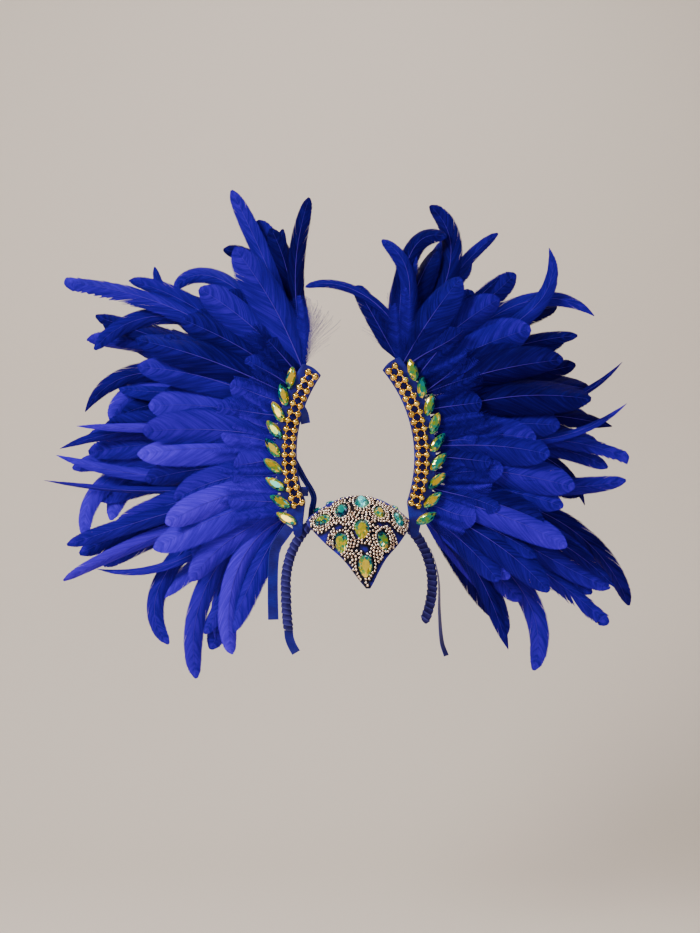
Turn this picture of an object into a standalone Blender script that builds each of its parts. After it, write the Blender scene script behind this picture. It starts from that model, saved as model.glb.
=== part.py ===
"""Showgirl feather headdress: a wound headband, a jewelled forehead peak, two tall horns
edged with gold beads and cut stones, and a layered fan of dyed feathers behind each horn.

Units are metres, +Z is up, +X is the viewer's right and the wearer faces -Y.
The origin is the crown seat: the underside of the headband at the top of the head."""

import math

import bmesh
import bpy
from mathutils import Matrix, Vector
from mathutils.bvhtree import BVHTree

GAP = 0.0003

# Headband: a padded wire wound with velvet, an arch over the head with two legs
BAND_RADIUS = 0.0055
BAND_HALF_SPAN = {"left": 0.080, "right": 0.087}
BAND_RISE = 0.090
BAND_LEG = {"left": 0.053, "right": 0.044}
BAND_TOE_IN = {"left": 0.003, "right": 0.010}
BAND_ARCH_STEPS = 20
BAND_LEG_STEPS = 4
BAND_BEVEL_STEPS = 2

# Horns: felt plates on an arc, open towards the middle of the headdress
HORN_RADIUS = 0.158
HORN_THICKNESS = 0.0025
HORN_INNER_MARGIN = 0.0048
HORN_OUTER_MARGIN = 0.0240
HORN_END_MARGIN = 0.0050
HORN_STEPS = 12
HORN_TOP_SHARE = 0.45
FOOT_DROP = 0.041
FOOT_OUT = 0.0035
FOOT_TOE_OUTER = 0.0121
FOOT_TOE_INNER = 0.0022
FOOT_HEEL_RISE = 0.0049
FOOT_KNEE_DROP = 0.0172

# Gold beads: two columns along each horn, joined by cross links
BEAD_RADIUS = 0.00385
BEAD_PITCH = 0.0093
BEAD_COLUMN_SPACING = 0.0091
BEAD_WIRE_RADIUS = 0.0009
BEAD_BODY_RADIUS = 0.94 * BEAD_RADIUS
BEAD_BODY_HALF = 0.42 * BEAD_RADIUS
LINK_BURY = 0.35 * BEAD_RADIUS
BEAD_SIDES = 9
LINK_SIDES = 6
LINK_EVERY = 4

# Teardrop stones along the horns' outer side
STONE_LENGTH = 0.0246
STONE_WIDTH = 0.0134
STONE_HEIGHT = 0.0050
STONE_GIRDLE = 0.0014
STONE_OFFSET = 0.0232
STONE_SIDES = 10
STONE_BACK_SHARE = 0.94
STONE_TABLE_SHARE = 0.48
STONE_BULGE = 1.06
STONE_TAPER = 0.30

# Forehead peak: a domed felt plate from the band over the crown to a point on the brow
PEAK_THICKNESS = 0.0025
PEAK_HALF_WIDTH = 0.056
PEAK_CREST_FORWARD = 0.022
PEAK_CREST_RISE = 0.0145
PEAK_PROFILE_RADIUS = 0.143
PEAK_CREST_SLOPE = math.radians(27.0)
PEAK_TIP_SLOPE = math.radians(77.0)
PEAK_HEIGHT = PEAK_PROFILE_RADIUS * (math.cos(PEAK_CREST_SLOPE) - math.cos(PEAK_TIP_SLOPE))
PEAK_SIDE_DROP = 0.027
PEAK_PLAN_RADIUS = 0.120
PEAK_SHIFT_TOP = 0.0028
PEAK_SHIFT_TIP = 0.0125
PEAK_COLUMNS = 10
PEAK_SEAT_SHARE = 0.97
TEAL_PEAK_STONES = 5

# Cut stones on the peak and the ball chain around each
PEAK_STONE_LENGTH = 0.0250
PEAK_STONE_WIDTH = 0.0168
CHAIN_RADIUS = 0.0016
CHAIN_MARGIN = 0.0005
CHAIN_POINTS = 10
CHAIN_BULGE = 1.04
CHAIN_TAPER = 0.26
CHAIN_MAX_DROP = 0.0040
PROBE_HEIGHT = 0.020

# Small stones on a strip along the top of the band, behind the peak
CROWN_STONE_COUNT = 7
CROWN_STONE_LENGTH = 0.0110
CROWN_STONE_WIDTH = 0.0075
CROWN_STONE_HEIGHT = 0.0036
CROWN_STRIP_WIDTH = 0.0080
CROWN_STRIP_THICKNESS = 0.0010
CROWN_STONE_SIDES = 8
CROWN_SET_BACK = 0.0010
CROWN_HALF_SPAN = 0.047

# Feather fans
FAN_REACH = 0.370
FEATHER_WIDTH = 0.025
FEATHER_THICKNESS = 0.0012
ROOT_OFFSET = 0.0170
BACKING_WIDTH = 0.0120
BACKING_INNER_SHARE = 0.35
BACKING_STEPS = 7
BACKING_START = -0.10
BACKING_END = 1.06
FRONT_LAYERS = 3
FRONT_STEP = 0.0030
FRONT_LEAN = math.radians(-6.0)
FRONT_LEAN_STEP = math.radians(3.0)
BACK_LAYERS = 6
BACK_STEP = 0.0025
BACK_LEAN = math.radians(2.0)
BACK_LEAN_STEP = math.radians(2.4)
FAN_SKIN = 0.0022

# Ribbons
RIBBON_WIDTH = 0.0120
RIBBON_THICKNESS = 0.0010
STRIP_LENGTH = 0.106
STRIP_OUT = 0.0145
STRIP_DROP = 0.022
TAIL_LENGTH = 0.026
SIDE_TAIL_LENGTH = 0.122
SIDE_TAIL_ACROSS = 0.0790
BRACE_SHARE = 0.36
BRACE_OFFSET = 0.0010
BRACE_ACROSS = -0.052
BRACE_ELBOW_IN = 0.0035
BRACE_ELBOW_RISE = 0.032
BRACE_SLACK = 0.0015
BRACE_WIDTH_SHARE = 0.6
TAB_LENGTH = 0.011
TAB_SHARE = 0.70
KNOT_SIZE = 0.006
KNOT_SHARE = 0.08
WIDE = Vector((1.0, 0.0, 0.0))
DEEP = Vector((0.0, 1.0, 0.0))
TALL = Vector((0.0, 0.0, 1.0))
TILTED = Vector((1.0, 0.5, 0.3))

# Each side: sign along X, how far its chord leans inward, where its first bead row stands,
# and how many bead rows it has
SIDES = {
    "left": {"sign": -1.0, "lean": 6.0, "foot_x": 0.0615, "foot_z": 0.0085, "rows": 17},
    "right": {"sign": 1.0, "lean": 9.5, "foot_x": 0.0620, "foot_z": 0.0080, "rows": 18},
}

# Turn of each horn stone's tip, in degrees up from straight outwards, lowest stone first
STONE_TURN = {
    "left": (53, 47, 41, 41, 50, 42, 47, 55, 71),
    "right": (50, 56, 51, 49, 46, 57, 56, 64, 73),
}
STONE_FIRST_DROP = math.radians(3.2)
STONE_LAST_DROP = math.radians(5.0)

# Rows of the peak from crest to tip: place along the profile, half width, side drop
PEAK_ROWS = (
    {"along": 0.00, "half_width": 1.00, "drop": 1.00},
    {"along": 0.10, "half_width": 0.98, "drop": 0.98},
    {"along": 0.22, "half_width": 0.88, "drop": 0.94},
    {"along": 0.40, "half_width": 0.68, "drop": 0.80},
    {"along": 0.60, "half_width": 0.40, "drop": 0.60},
    {"along": 0.80, "half_width": 0.19, "drop": 0.38},
    {"along": 1.00, "half_width": 0.04, "drop": 0.00},
)

# Stones of the peak: across in shares of PEAK_HALF_WIDTH from the middle, down in shares of
# PEAK_HEIGHT below the crest, the turn of the long axis seen from the front, and the size
PEAK_STONES = (
    {"across": 0.05, "down": 0.076, "turn": 0, "size": 0.96},
    {"across": -0.32, "down": 0.176, "turn": 18, "size": 0.88},
    {"across": 0.40, "down": 0.190, "turn": -20, "size": 0.78},
    {"across": -0.72, "down": 0.294, "turn": 68, "size": 0.90},
    {"across": 0.78, "down": 0.276, "turn": -28, "size": 0.86},
    {"across": 0.06, "down": 0.382, "turn": 180, "size": 1.04},
    {"across": -0.33, "down": 0.532, "turn": -160, "size": 1.02},
    {"across": 0.47, "down": 0.512, "turn": 172, "size": 0.94},
    {"across": 0.13, "down": 0.782, "turn": 180, "size": 1.00},
)

# Feathers: root is a share of the horn from its foot, out and up place the tip in shares of
# FAN_REACH from the origin, leave and arrive turn the blade's ends away from its chord in
# degrees, positive upwards, width is a share of FEATHER_WIDTH
FRONT_FEATHERS = {
    "left": (
        {"root": 1.00, "out": 0.37, "up": 0.80, "leave": 8, "arrive": -8, "width": 1.7},
        {"root": 0.95, "out": 0.48, "up": 0.68, "leave": 8, "arrive": -10, "width": 1.7},
        {"root": 0.88, "out": 0.54, "up": 0.59, "leave": 8, "arrive": -8, "width": 1.6},
        {"root": 0.80, "out": 0.67, "up": 0.52, "leave": 6, "arrive": -8, "width": 1.5},
        {"root": 0.70, "out": 0.67, "up": 0.44, "leave": 10, "arrive": -12, "width": 1.5},
        {"root": 0.60, "out": 0.64, "up": 0.32, "leave": 10, "arrive": -12, "width": 1.8},
        {"root": 0.50, "out": 0.65, "up": 0.24, "leave": 6, "arrive": -8, "width": 1.7},
        {"root": 0.41, "out": 0.67, "up": 0.17, "leave": 4, "arrive": -8, "width": 1.5},
        {"root": 0.32, "out": 0.65, "up": 0.09, "leave": 2, "arrive": -10, "width": 1.6},
        {"root": 0.20, "out": 0.58, "up": -0.04, "leave": 6, "arrive": -10, "width": 1.4},
        {"root": 0.10, "out": 0.62, "up": -0.12, "leave": 6, "arrive": -8, "width": 1.6},
        {"root": 0.00, "out": 0.51, "up": -0.22, "leave": 12, "arrive": -20, "width": 1.3},
    ),
    "right": (
        {"root": 0.98, "out": 0.32, "up": 0.71, "leave": 5, "arrive": -5, "width": 1.7},
        {"root": 0.92, "out": 0.44, "up": 0.65, "leave": 6, "arrive": -8, "width": 1.6},
        {"root": 0.85, "out": 0.54, "up": 0.56, "leave": 6, "arrive": -8, "width": 1.9},
        {"root": 0.75, "out": 0.63, "up": 0.46, "leave": 8, "arrive": -8, "width": 1.6},
        {"root": 0.62, "out": 0.72, "up": 0.34, "leave": 10, "arrive": -14, "width": 1.7},
        {"root": 0.51, "out": 0.63, "up": 0.26, "leave": 6, "arrive": -8, "width": 1.7},
        {"root": 0.41, "out": 0.59, "up": 0.17, "leave": 6, "arrive": -10, "width": 1.7},
        {"root": 0.30, "out": 0.67, "up": 0.07, "leave": 2, "arrive": -6, "width": 1.7},
        {"root": 0.20, "out": 0.64, "up": 0.01, "leave": 2, "arrive": -8, "width": 1.4},
        {"root": 0.10, "out": 0.64, "up": -0.11, "leave": 6, "arrive": -10, "width": 1.4},
        {"root": 0.03, "out": 0.59, "up": -0.25, "leave": 8, "arrive": -14, "width": 1.4},
        {"root": -0.03, "out": 0.44, "up": -0.22, "leave": 10, "arrive": -10, "width": 1.3},
    ),
}
BACK_FEATHERS = {
    "left": (
        {"root": 1.04, "out": 0.145, "up": 0.97, "leave": -13, "arrive": 17, "width": 0.80},
        {"root": 1.00, "out": 0.39, "up": 1.00, "leave": 5, "arrive": -5, "width": 0.90},
        {"root": 1.02, "out": 0.23, "up": 0.88, "leave": -14, "arrive": 20, "width": 0.70},
        {"root": 1.00, "out": 0.42, "up": 0.82, "leave": 5, "arrive": -50, "width": 0.90},
        {"root": 0.98, "out": 0.58, "up": 0.70, "leave": 32, "arrive": -86, "width": 0.80},
        {"root": 0.95, "out": 0.65, "up": 0.78, "leave": -20, "arrive": 40, "width": 0.60},
        {"root": 0.88, "out": 0.91, "up": 0.71, "leave": 15, "arrive": -18, "width": 0.95},
        {"root": 0.93, "out": 0.82, "up": 0.50, "leave": 41, "arrive": -62, "width": 0.85},
        {"root": 0.82, "out": 0.80, "up": 0.59, "leave": 10, "arrive": -12, "width": 1.00},
        {"root": 0.78, "out": 0.86, "up": 0.54, "leave": 12, "arrive": -14, "width": 1.10},
        {"root": 0.68, "out": 0.87, "up": 0.31, "leave": 28, "arrive": -62, "width": 1.00},
        {"root": 0.62, "out": 0.79, "up": 0.28, "leave": 20, "arrive": -70, "width": 1.10},
        {"root": 0.50, "out": 0.87, "up": 0.26, "leave": 5, "arrive": 0, "width": 0.50},
        {"root": 0.45, "out": 0.93, "up": 0.19, "leave": 12, "arrive": -20, "width": 0.65},
        {"root": 0.30, "out": 0.95, "up": 0.17, "leave": -12, "arrive": 16, "width": 0.65},
        {"root": 0.20, "out": 1.00, "up": 0.09, "leave": -8, "arrive": 10, "width": 0.40},
        {"root": 0.38, "out": 0.87, "up": -0.10, "leave": 35, "arrive": -80, "width": 1.00},
        {"root": 0.28, "out": 0.79, "up": -0.04, "leave": 35, "arrive": -70, "width": 1.15},
        {"root": 0.12, "out": 0.90, "up": -0.11, "leave": 8, "arrive": -4, "width": 0.85},
        {"root": 0.06, "out": 0.92, "up": -0.225, "leave": 8, "arrive": -8, "width": 0.75},
        {"root": 0.03, "out": 0.82, "up": -0.19, "leave": -5, "arrive": 30, "width": 0.50},
        {"root": 0.08, "out": 0.594, "up": -0.43, "leave": 48, "arrive": -85, "width": 0.90},
        {"root": 0.00, "out": 0.51, "up": -0.545, "leave": 38, "arrive": -40, "width": 1.00},
        {"root": -0.03, "out": 0.45, "up": -0.42, "leave": 40, "arrive": -38, "width": 0.42},
        {"root": -0.06, "out": 0.385, "up": -0.45, "leave": 48, "arrive": -35, "width": 0.95},
    ),
    "right": (
        {"root": 1.00, "out": -0.157, "up": 0.69, "leave": -69, "arrive": 62, "width": 0.45},
        {"root": 1.00, "out": 0.08, "up": 0.84, "leave": -19, "arrive": 55, "width": 0.80},
        {"root": 0.98, "out": 0.286, "up": 0.855, "leave": 25, "arrive": -90, "width": 0.90},
        {"root": 0.97, "out": 0.234, "up": 0.96, "leave": -20, "arrive": 60, "width": 1.00},
        {"root": 0.95, "out": 0.455, "up": 0.88, "leave": 10, "arrive": -18, "width": 0.65},
        {"root": 0.97, "out": 0.286, "up": 0.76, "leave": 0, "arrive": -10, "width": 0.85},
        {"root": 0.90, "out": 0.446, "up": 0.72, "leave": 5, "arrive": -5, "width": 0.65},
        {"root": 0.88, "out": 0.606, "up": 0.82, "leave": -13, "arrive": 65, "width": 0.85},
        {"root": 0.84, "out": 0.754, "up": 0.61, "leave": 25, "arrive": -62, "width": 0.85},
        {"root": 0.80, "out": 0.705, "up": 0.55, "leave": 8, "arrive": -14, "width": 0.75},
        {"root": 0.60, "out": 0.858, "up": 0.47, "leave": -15, "arrive": 30, "width": 0.42},
        {"root": 0.66, "out": 0.76, "up": 0.38, "leave": 15, "arrive": -20, "width": 1.10},
        {"root": 0.48, "out": 0.843, "up": 0.33, "leave": -15, "arrive": 30, "width": 0.45},
        {"root": 0.54, "out": 0.803, "up": 0.26, "leave": 10, "arrive": -15, "width": 1.10},
        {"root": 0.42, "out": 0.865, "up": 0.16, "leave": 8, "arrive": -18, "width": 0.75},
        {"root": 0.25, "out": 0.862, "up": 0.09, "leave": -8, "arrive": 14, "width": 0.90},
        {"root": 0.36, "out": 0.732, "up": 0.01, "leave": 40, "arrive": -55, "width": 0.65},
        {"root": 0.15, "out": 0.892, "up": -0.32, "leave": 26, "arrive": -38, "width": 1.00},
        {"root": 0.10, "out": 0.81, "up": -0.245, "leave": 10, "arrive": -20, "width": 0.85},
        {"root": 0.04, "out": 0.794, "up": -0.36, "leave": 5, "arrive": -8, "width": 0.85},
        {"root": 0.08, "out": 0.714, "up": -0.26, "leave": 8, "arrive": -25, "width": 0.85},
        {"root": -0.04, "out": 0.483, "up": -0.445, "leave": 22, "arrive": -15, "width": 0.85},
        {"root": 0.00, "out": 0.57, "up": -0.52, "leave": 25, "arrive": -52, "width": 1.10},
        {"root": -0.06, "out": 0.42, "up": -0.265, "leave": 5, "arrive": 0, "width": 0.75},
    ),
}
BLADE_HANDLE = 0.38

# A blade's outline from root to tip: place along it and width
FRONT_OUTLINE = (
    {"along": 0.00, "width": 0.30},
    {"along": 0.22, "width": 0.70},
    {"along": 0.52, "width": 1.00},
    {"along": 0.78, "width": 0.92},
    {"along": 0.94, "width": 0.52},
)
BACK_OUTLINE = (
    {"along": 0.00, "width": 0.22},
    {"along": 0.20, "width": 0.66},
    {"along": 0.42, "width": 0.98},
    {"along": 0.62, "width": 1.00},
    {"along": 0.80, "width": 0.84},
    {"along": 0.94, "width": 0.46},
)

# Ribbons that hang: down, out along +X and back along +Y in shares of the length, the way
# the width lies and its share of RIBBON_WIDTH
STRIP_ROWS = (
    {"down": 0.00, "out": 0.00, "back": 0.000, "wide": WIDE, "width": 1.0},
    {"down": 0.10, "out": -0.08, "back": 0.000, "wide": WIDE, "width": 1.0},
    {"down": 0.22, "out": -0.15, "back": 0.006, "wide": WIDE, "width": 1.0},
    {"down": 0.40, "out": -0.18, "back": 0.014, "wide": WIDE, "width": 1.0},
    {"down": 0.70, "out": -0.185, "back": 0.018, "wide": WIDE, "width": 1.0},
    {"down": 1.00, "out": -0.18, "back": 0.015, "wide": WIDE, "width": 1.0},
)
TAIL_ROWS = (
    {"down": 0.00, "out": 0.00, "back": 0.00, "wide": WIDE, "width": 0.8},
    {"down": 0.35, "out": 0.04, "back": 0.02, "wide": WIDE, "width": 0.8},
    {"down": 0.70, "out": 0.16, "back": 0.03, "wide": WIDE, "width": 0.8},
    {"down": 1.00, "out": 0.34, "back": 0.00, "wide": WIDE, "width": 0.8},
)
SIDE_TAIL_ROWS = (
    {"down": 0.00, "out": 0.000, "back": 0.00, "wide": DEEP, "width": 0.9},
    {"down": 0.12, "out": 0.045, "back": 0.00, "wide": DEEP, "width": 0.9},
    {"down": 0.30, "out": 0.080, "back": 0.01, "wide": DEEP, "width": 0.9},
    {"down": 0.60, "out": 0.088, "back": 0.03, "wide": DEEP, "width": 0.9},
    {"down": 0.88, "out": 0.110, "back": 0.02, "wide": DEEP, "width": 0.9},
    {"down": 1.00, "out": 0.150, "back": 0.00, "wide": DEEP, "width": 0.9},
)
TAB_ROWS = (
    {"down": -1.00, "out": -0.55, "back": 0.00, "wide": WIDE, "width": 0.9},
    {"down": -0.18, "out": 0.05, "back": 0.00, "wide": WIDE, "width": 0.9},
    {"down": 1.00, "out": 0.32, "back": 0.00, "wide": WIDE, "width": 0.8},
)
KNOT_ROWS = (
    {"down": 0.00, "out": -0.90, "back": 0.00, "wide": TALL, "width": 0.9},
    {"down": 0.00, "out": 0.30, "back": 0.00, "wide": TALL, "width": 0.9},
    {"down": 0.00, "out": 0.95, "back": 0.25, "wide": TALL, "width": 0.9},
    {"down": 0.00, "out": 1.00, "back": 0.55, "wide": TALL, "width": 0.9},
    {"down": 0.00, "out": 0.50, "back": 0.78, "wide": TALL, "width": 0.9},
    {"down": 0.00, "out": -0.40, "back": 0.80, "wide": TALL, "width": 0.9},
)

MATERIALS = {
    "velvet": {"color": (0.016, 0.030, 0.22), "roughness": 0.85, "metallic": 0.0},
    "felt": {"color": (0.010, 0.022, 0.28), "roughness": 0.80, "metallic": 0.0},
    "feather": {"color": (0.012, 0.006, 0.42), "roughness": 0.55, "metallic": 0.0},
    "ribbon": {"color": (0.002, 0.006, 0.10), "roughness": 0.35, "metallic": 0.0},
    "gold": {"color": (0.66, 0.36, 0.08), "roughness": 0.22, "metallic": 1.0},
    "rose_gold": {"color": (0.78, 0.52, 0.38), "roughness": 0.25, "metallic": 1.0},
    "stone": {"color": (0.30, 0.52, 0.16), "roughness": 0.08, "metallic": 0.4},
    "teal_stone": {"color": (0.01, 0.26, 0.25), "roughness": 0.08, "metallic": 0.4},
}


def clear_scene():
    for item in list(bpy.data.objects):
        bpy.data.objects.remove(item, do_unlink=True)


def new_collection(name):
    group = bpy.data.collections.new(name)
    bpy.context.scene.collection.children.link(group)
    return group


def material(name):
    """The named finish as a Principled material, made once."""
    found = bpy.data.materials.get(name)
    if found:
        return found
    look = MATERIALS[name]
    made = bpy.data.materials.new(name)
    made.use_nodes = True
    shader = made.node_tree.nodes["Principled BSDF"]
    shader.inputs["Base Color"].default_value = (*look["color"], 1.0)
    shader.inputs["Roughness"].default_value = look["roughness"]
    shader.inputs["Metallic"].default_value = look["metallic"]
    return made


def add_object(name, mesh, finish, group):
    piece = bpy.data.objects.new(name, mesh)
    group.objects.link(piece)
    mesh.materials.clear()
    mesh.materials.append(material(finish))
    return piece


def close_mesh(name, bm):
    """Turn a bmesh of closed bodies into a mesh whose faces point outwards."""
    bmesh.ops.recalc_face_normals(bm, faces=bm.faces)
    mesh = bpy.data.meshes.new(name)
    bm.to_mesh(mesh)
    bm.free()
    return mesh


def loft(bm, rings, tip=None):
    """Join rings of points into one closed skin, ending in a cap or in a single tip point."""
    loops = [[bm.verts.new(point) for point in ring] for ring in rings]
    count = len(loops[0])
    for low, high in zip(loops, loops[1:]):
        for i in range(count):
            j = (i + 1) % count
            bm.faces.new((low[i], low[j], high[j], high[i]))
    bm.faces.new(list(reversed(loops[0])))
    if tip is None:
        bm.faces.new(loops[-1])
        return
    point = bm.verts.new(tip)
    for i in range(count):
        bm.faces.new((loops[-1][i], loops[-1][(i + 1) % count], point))


def union(name, body, extras, finish, group, cutters):
    """Fuse meshes into one body: the first is the object, the others join it as one operand."""
    piece = add_object(name, body, finish, group)
    operand = add_object(name + "_parts", extras, finish, cutters)
    operand.hide_render = True
    operand.display_type = "WIRE"
    join = piece.modifiers.new("join", "BOOLEAN")
    join.operation = "UNION"
    join.solver = "EXACT"
    join.use_self = True
    join.object = operand
    return piece


# Places along the horns and the band

def horn_sweep(side):
    return (SIDES[side]["rows"] - 1) * BEAD_PITCH / HORN_RADIUS


def horn_angle(side, share):
    """Angle on a horn's arc for a share of its height, 0 at the first bead row."""
    return math.radians(SIDES[side]["lean"]) + (share - 0.5) * horn_sweep(side)


def horn_point(side, angle, offset, y):
    """Point on a horn at an arc angle, offset outwards from its inner bead column."""
    facts = SIDES[side]
    start = horn_angle(side, 0.0)
    centre_x = facts["foot_x"] - HORN_RADIUS * math.cos(start)
    centre_z = facts["foot_z"] - HORN_RADIUS * math.sin(start)
    radius = HORN_RADIUS + offset
    x = facts["sign"] * (centre_x + radius * math.cos(angle))
    return Vector((x, y, centre_z + radius * math.sin(angle)))


def horn_outward(side, angle):
    return Vector((SIDES[side]["sign"] * math.cos(angle), 0.0, math.sin(angle)))


def horn_distance(side, point):
    """How far a point lies outside the line of feather roots."""
    centre = horn_point(side, 0.0, -HORN_RADIUS, 0.0)
    flat = Vector((point.x - centre.x, 0.0, point.z - centre.z))
    return max(0.0, flat.length - HORN_RADIUS - ROOT_OFFSET)


BAND_SPRINGING = BAND_RADIUS - BAND_RISE


def band_half_span(across):
    return BAND_HALF_SPAN["left" if across < 0.0 else "right"]


def band_point(across):
    """Centre of the band's arch above a distance across from the middle."""
    height = math.sqrt(1.0 - (across / band_half_span(across)) ** 2)
    return Vector((across, 0.0, BAND_SPRINGING + BAND_RISE * height))


def band_normal(across):
    level = band_point(across).z - BAND_SPRINGING
    flat = across / band_half_span(across) ** 2
    return Vector((flat, 0.0, level / BAND_RISE ** 2)).normalized()


HORN_BACK_Y = -(BAND_RADIUS + GAP)
HORN_FRONT_Y = HORN_BACK_Y - HORN_THICKNESS


def tube(name, points, radius, resolution, finish, group, cyclic=False):
    """A round tube along a chain of points, with filled ends."""
    curve = bpy.data.curves.new(name, "CURVE")
    curve.dimensions = "3D"
    curve.bevel_depth = radius
    curve.bevel_resolution = resolution
    curve.use_fill_caps = True
    spline = curve.splines.new("POLY")
    spline.points.add(len(points) - 1)
    for place, point in zip(spline.points, points):
        place.co = (*point, 1.0)
    spline.use_cyclic_u = cyclic
    curve.materials.append(material(finish))
    piece = bpy.data.objects.new(name, curve)
    group.objects.link(piece)
    return piece


def band_leg_point(side, share):
    """Centre of a leg of the band, from its springing at 0 to its end at 1."""
    across = BAND_HALF_SPAN[side] - BAND_TOE_IN[side] * share ** 2
    return Vector((SIDES[side]["sign"] * across, 0.0, BAND_SPRINGING - BAND_LEG[side] * share))


def make_headband(group):
    points = []
    for i in range(BAND_LEG_STEPS):
        points.append(band_leg_point("left", 1.0 - i / BAND_LEG_STEPS))
    for i in range(BAND_ARCH_STEPS + 1):
        angle = math.pi * (1.0 - i / BAND_ARCH_STEPS)
        span = band_half_span(math.cos(angle))
        points.append(Vector((span * math.cos(angle), 0.0,
                              BAND_SPRINGING + BAND_RISE * math.sin(angle))))
    for i in range(1, BAND_LEG_STEPS + 1):
        points.append(band_leg_point("right", i / BAND_LEG_STEPS))
    tube("headband", points, BAND_RADIUS, BAND_BEVEL_STEPS, "velvet", group)


def make_horn_plate(side, group):
    """A flat felt arc with rounded top and a foot that laps over the front of the band."""
    end_angle = HORN_END_MARGIN / HORN_RADIUS
    low = horn_angle(side, 0.0)
    high = horn_angle(side, 1.0) + end_angle
    sign = SIDES[side]["sign"]
    foot = horn_point(side, low, -HORN_INNER_MARGIN, 0.0)
    outline = []
    for i in range(HORN_STEPS + 1):
        angle = low + (high - low) * i / HORN_STEPS
        outline.append(horn_point(side, angle, -HORN_INNER_MARGIN, 0.0))
    width = HORN_INNER_MARGIN + HORN_OUTER_MARGIN
    outline.append(horn_point(side, high + end_angle,
                              HORN_TOP_SHARE * width - HORN_INNER_MARGIN, 0.0))
    for i in range(HORN_STEPS + 1):
        angle = high - (high - low + 2.0 * end_angle) * i / HORN_STEPS
        outline.append(horn_point(side, angle, HORN_OUTER_MARGIN, 0.0))
    knee = foot + Vector((sign * FOOT_OUT, 0.0, 0.0))
    outline.append(knee + Vector((sign * FOOT_TOE_OUTER, 0.0, -FOOT_DROP)))
    outline.append(knee + Vector((sign * FOOT_TOE_INNER, 0.0, FOOT_HEEL_RISE - FOOT_DROP)))
    outline.append(knee - Vector((0.0, 0.0, FOOT_KNEE_DROP)))

    curve = bpy.data.curves.new("horn_outline_" + side, "CURVE")
    curve.dimensions = "2D"
    curve.fill_mode = "BOTH"
    curve.extrude = HORN_THICKNESS / 2.0
    spline = curve.splines.new("POLY")
    spline.points.add(len(outline) - 1)
    for place, point in zip(spline.points, outline):
        place.co = (point.x, point.z, 0.0, 1.0)
    spline.use_cyclic_u = True
    curve.materials.append(material("felt"))
    piece = bpy.data.objects.new("horn_plate_" + side, curve)
    piece.rotation_euler = (math.pi / 2.0, 0.0, 0.0)
    piece.location = (0.0, HORN_BACK_Y - HORN_THICKNESS / 2.0, 0.0)
    group.objects.link(piece)


def bead_profile():
    """One bead and its share of wire: distance along the string and radius."""
    return (
        {"along": -BEAD_PITCH / 2.0, "radius": BEAD_WIRE_RADIUS},
        {"along": -BEAD_BODY_HALF, "radius": BEAD_BODY_RADIUS},
        {"along": BEAD_BODY_HALF, "radius": BEAD_BODY_RADIUS},
    )


def bead_column(bm, side, offset):
    """A string of beads along the horn as one skin that swells at each bead."""
    y = HORN_FRONT_Y - GAP - BEAD_RADIUS
    rings = []
    last = SIDES[side]["rows"] - 1
    for row in range(last + 1):
        for step in bead_profile():
            angle = horn_angle(side, row / last) + step["along"] / HORN_RADIUS
            rings.append(bead_ring(side, angle, offset, y, step["radius"]))
    end = horn_angle(side, 1.0) + BEAD_PITCH / 2.0 / HORN_RADIUS
    rings.append(bead_ring(side, end, offset, y, BEAD_WIRE_RADIUS))
    loft(bm, rings)


def bead_ring(side, angle, offset, y, radius):
    centre = horn_point(side, angle, offset, y)
    outward = horn_outward(side, angle)
    forward = Vector((0.0, -1.0, 0.0))
    ring = []
    for i in range(BEAD_SIDES):
        turn = 2.0 * math.pi * i / BEAD_SIDES
        ring.append(centre + outward * (radius * math.cos(turn)) + forward * (radius * math.sin(turn)))
    return ring


def make_bead_ladder(side, group, cutters):
    columns = bmesh.new()
    bead_column(columns, side, 0.0)
    bead_column(columns, side, BEAD_COLUMN_SPACING)
    links = bmesh.new()
    y = HORN_FRONT_Y - GAP - BEAD_RADIUS
    last = SIDES[side]["rows"] - 1
    for row in range(0, last + 1, LINK_EVERY):
        angle = horn_angle(side, row / last)
        outward = horn_outward(side, angle)
        along = Vector((-outward.z, 0.0, outward.x))
        forward = Vector((0.0, -1.0, 0.0))
        rings = []
        for reach in (LINK_BURY, BEAD_COLUMN_SPACING - LINK_BURY):
            centre = horn_point(side, angle, reach, y)
            ring = []
            for i in range(LINK_SIDES):
                turn = 2.0 * math.pi * i / LINK_SIDES
                ring.append(centre + along * (BEAD_WIRE_RADIUS * math.cos(turn))
                            + forward * (BEAD_WIRE_RADIUS * math.sin(turn)))
            rings.append(ring)
        loft(links, rings)
    union("horn_beads_" + side, close_mesh("bead_columns_" + side, columns),
          close_mesh("bead_links_" + side, links), "gold", group, cutters)


def stone_mesh(name, length, width, height, girdle, sides):
    """A flat-backed teardrop with a girdle, a ring of crown facets and a table.
    Its long axis is +X with the point at +X, and it stands up along +Z from its flat back."""
    bm = bmesh.new()
    stone_body(bm, Matrix.Identity(4), length, width, height, girdle, sides)
    return close_mesh(name, bm)


def stone_body(bm, place, length, width, height, girdle, sides):
    def ring(scale, level):
        points = []
        for i in range(sides):
            turn = 2.0 * math.pi * i / sides
            along = 0.5 * length * math.cos(turn)
            belly = STONE_BULGE - STONE_TAPER * math.cos(turn)
            across = 0.5 * width * math.sin(turn) * belly
            points.append(place @ Vector((along * scale, across * scale, level)))
        return points
    loft(bm, [ring(STONE_BACK_SHARE, 0.0), ring(1.0, girdle), ring(STONE_TABLE_SHARE, height)])


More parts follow.
